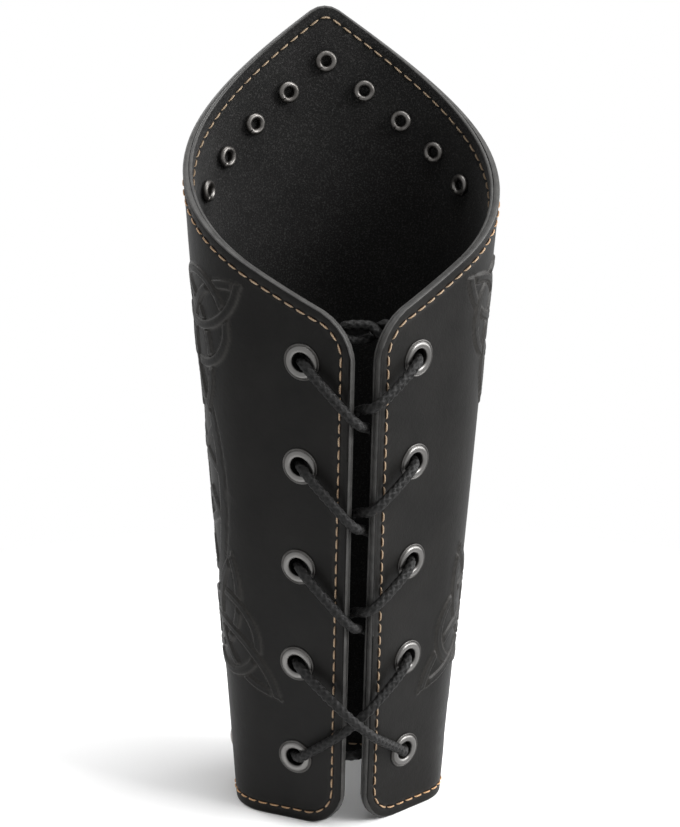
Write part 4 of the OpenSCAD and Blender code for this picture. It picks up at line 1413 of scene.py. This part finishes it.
def end_points(hand):
    """From an upper eyelet up to the knot, through its turns along a level line, and down the hanging end
    on the other side."""
    lead = on_back(
        hand * np.array([0.97, 0.77]) * EYELET_OFF, EYELET_TOP_H + np.array([0.4, 0.5 * KNOT_LIFT]),
        np.array([UNDER_CLINCH * 0.9, UNDER_CLINCH + 0.6]),
    )
    d, turn = np.array(TWIST).T
    angle = np.radians(hand * (90 + turn))
    depth = on_back(np.array(TWIST_HALF[0][0]), TWIST_Z, TWIST_LEVEL)[1]
    turns = np.stack([hand * d, depth + TWIST_R * np.cos(angle), TWIST_Z + TWIST_R * np.sin(angle)], axis=-1)
    tail = on_back(
        -hand * np.array([10.5, 11]), TWIST_Z - np.array([4, TAIL_LEN]), TWIST_LEVEL - np.array([3.4, 4.6])
    )
    return np.concatenate([lead, turns, tail])


def lace_points():
    """All points of the lace's middle line, from one end to the other."""
    share, level = np.array(CROSS_BAR).T
    bar = on_back(share * EYELET_OFF, np.full(len(share), eyelet_level(ROWS[-1])), level)
    return np.concatenate([
        end_points(1)[::-1], crossing_points(1, 1), crossing_points(-1, 2), crossing_points(1, 3),
        last_crossing_points(-1), bar, last_crossing_points(1)[::-1], crossing_points(-1, 3)[::-1],
        crossing_points(1, 2)[::-1], crossing_points(-1, 1)[::-1], end_points(-1),
    ])


def blended(a, b, t, start, end):
    """The points between a at the start and b at the end, at t."""
    return (end - t) / (end - start) * a + (t - start) / (end - start) * b


def smooth_line(points, step):
    """A centripetal Catmull-Rom curve through points, resampled at even steps."""
    p = np.concatenate([[2 * points[0] - points[1]], points, [2 * points[-1] - points[-2]]])
    knots = np.concatenate([[0], np.cumsum(np.sqrt(np.linalg.norm(np.diff(p, axis=0), axis=1)))])
    pieces = []
    for k in range(1, len(p) - 2):
        t0, t1, t2, t3 = knots[k - 1 : k + 3]
        t = np.linspace(t1, t2, 24, endpoint=False)[:, None]
        middle = blended(p[k], p[k + 1], t, t1, t2)
        before = blended(blended(p[k - 1], p[k], t, t0, t1), middle, t, t0, t2)
        after = blended(middle, blended(p[k + 1], p[k + 2], t, t2, t3), t, t1, t3)
        pieces.append(blended(before, after, t, t1, t2))
    dense = np.concatenate(pieces + [p[-2:-1]])
    run = np.concatenate([[0], np.cumsum(np.linalg.norm(np.diff(dense, axis=0), axis=1))])
    even = np.linspace(0, run[-1], int(run[-1] / step) + 1)
    return np.stack([np.interp(even, run, dense[:, k]) for k in range(3)], axis=-1), even


def carried_frames(line):
    """Two directions across a line, carried from ring to ring with as little turn as possible."""
    along = unit(np.gradient(line, axis=0))
    across = np.zeros_like(line)
    v = unit(np.cross(along[0], [0.3, 0.2, 1.0]))
    for k, t in enumerate(along):
        v = unit(v - (v @ t) * t)
        across[k] = v
    return across, np.cross(along, across)


LACE_STEP = 0.36
LACE_SIDES = 36
BRAID_STRANDS = 4
BRAID_PITCH = 2.3
BRAID_DEPTH = 0.42


def braid_height(run, a):
    """Height of a braid, 0 to 1: two families of ridges that wind opposite ways, cos(n a + k s) and
    cos(n a - k s), one on top of the other in turn, a little slack here and there."""
    k = 2 * math.pi / BRAID_PITCH
    first = 0.5 + 0.5 * np.cos(BRAID_STRANDS * a + k * run)
    second = 0.5 + 0.5 * np.cos(BRAID_STRANDS * a - k * run)
    turn = 0.5 * (np.cos(BRAID_STRANDS * a) + np.cos(k * run))
    slack = 0.86 + 0.09 * np.sin(1.37 * run + 2 * a) + 0.05 * np.sin(3.1 * run - 3 * a + 0.7)
    return slack * np.maximum(first * (0.75 + 0.25 * turn), second * (0.75 - 0.25 * turn)) ** 0.7


def make_lace():
    """The braided lace along the part's route: its radius is 0.5 d - depth + depth times the braid's height."""
    line, run = smooth_line(lace_points(), LACE_STEP)
    across, other = carried_frames(line)
    sides = LACE_SIDES
    a = np.arange(sides) * 2 * math.pi / sides
    high = braid_height(run[:, None], a[None, :])
    taper = np.clip(np.minimum(run, run[-1] - run) / 0.8, 0.25, 1)[:, None]
    r = (LACE_R - BRAID_DEPTH + BRAID_DEPTH * 1.1 * high) * np.sqrt(taper)
    points = line[:, None, :] + r[..., None] * (
        across[:, None, :] * np.cos(a)[None, :, None] + other[:, None, :] * np.sin(a)[None, :, None]
    )
    rows = len(line)
    quads = grid_quads(rows, sides, wrap_columns=True)
    middle = rows * sides
    ring = np.arange(sides)
    near_end = np.stack([ring, (ring + 1) % sides, np.full(sides, middle)], axis=-1)
    far = (rows - 1) * sides
    far_end = np.stack([far + (ring + 1) % sides, far + ring, np.full(sides, middle + 1)], axis=-1)
    everything = np.concatenate([points.reshape(-1, 3), line[:1], line[-1:]])
    uv = np.stack(np.broadcast_arrays(run[:, None] / 2, a[None, :] / (2 * math.pi) * 5), axis=-1).reshape(-1, 2)
    uv = np.concatenate([uv, uv[:1], uv[-1:]])
    make_piece(
        "braided_lace", everything, [quads[:, ::-1], near_end, far_end], [LACE], ["lace"],
        values={"strand_top": np.concatenate([high.ravel(), [0, 0]])}, uv=uv,
    )
    for side in ("left", "right"):
        refinish(f"lace_tip_{side}", DARK_SLEEVE)


make_wall()
make_stitches("seam_stitches", 0.0, THREAD, ["edge_stitching"], True)
make_stitches("seam_stitches_inside", -WALL_T, THREAD_INSIDE, [], False)
make_caps()
make_tubes()
make_eyelets()
make_lace()


# Floor and light
WHITE = tone(1, 1, 1)
FLOOR_HALF = 12.0
DIM_SURROUND = 0.32
OBJECT_MIDDLE = (0, 0, 0.12)


def make_floor():
    """A plain pale floor. For the rays that see the background it is mixed with white, more and more with
    the distance from the object."""
    f = finish_nodes("pale_floor")
    lit = f.node("ShaderNodeBsdfDiffuse", sockets={"Color": tone(0.9, 0.9, 0.9), "Roughness": 0.5})
    apart = f.node("ShaderNodeVectorMath", {"operation": "LENGTH"}, {0: f.place()}, out="Value")
    white = f.node("ShaderNodeEmission", sockets={"Color": WHITE, "Strength": 1.0})
    mix = f.node("ShaderNodeMixShader", sockets={0: apart.between(0.10, 0.30) * f.seen(), 1: lit, 2: white})
    mesh = bpy.data.meshes.new("floor")
    corners = [(x * FLOOR_HALF, y * FLOOR_HALF, 0) for x, y in ((-1, -1), (1, -1), (1, 1), (-1, 1))]
    mesh.from_pydata(corners, [], [(0, 1, 2, 3)])
    mesh.materials.append(f.end(MATERIAL_END, mix))
    add_object("floor", mesh)


def make_lamp(name, place, size, power):
    """A soft square lamp at a place in metres, turned towards the object's middle."""
    lamp = add_object(name, bpy.data.lights.new(name, "AREA"))
    lamp.data.shape = "SQUARE"
    lamp.data.size = size
    lamp.data.energy = power
    lamp.location = place
    lamp.rotation_euler = facing(place, OBJECT_MIDDLE)


def make_world():
    """A soft white surround: it lights the object at a lower level than it shows to the camera and in
    reflections."""
    w = Nodes(bpy.data.worlds.new("surround"))
    dim, white = (
        w.node("ShaderNodeBackground", sockets={"Color": WHITE, "Strength": level}) for level in (DIM_SURROUND, 1.0)
    )
    mix = w.node("ShaderNodeMixShader", sockets={0: w.seen(), 1: dim, 2: white})
    bpy.context.scene.world = w.end("ShaderNodeOutputWorld", mix)


make_floor()
make_lamp("back_key", (-1.3, 0.8, 0.9), 0.8, 36)
make_lamp("top", (-0.25, 0.15, 1.5), 0.9, 17)
make_lamp("side", (-1.2, -0.1, 0.45), 0.9, 14)
make_lamp("front_key", (0.9, -1.2, 1.3), 0.7, 20)
make_world()
bpy.context.scene.view_settings.view_transform = "Standard"
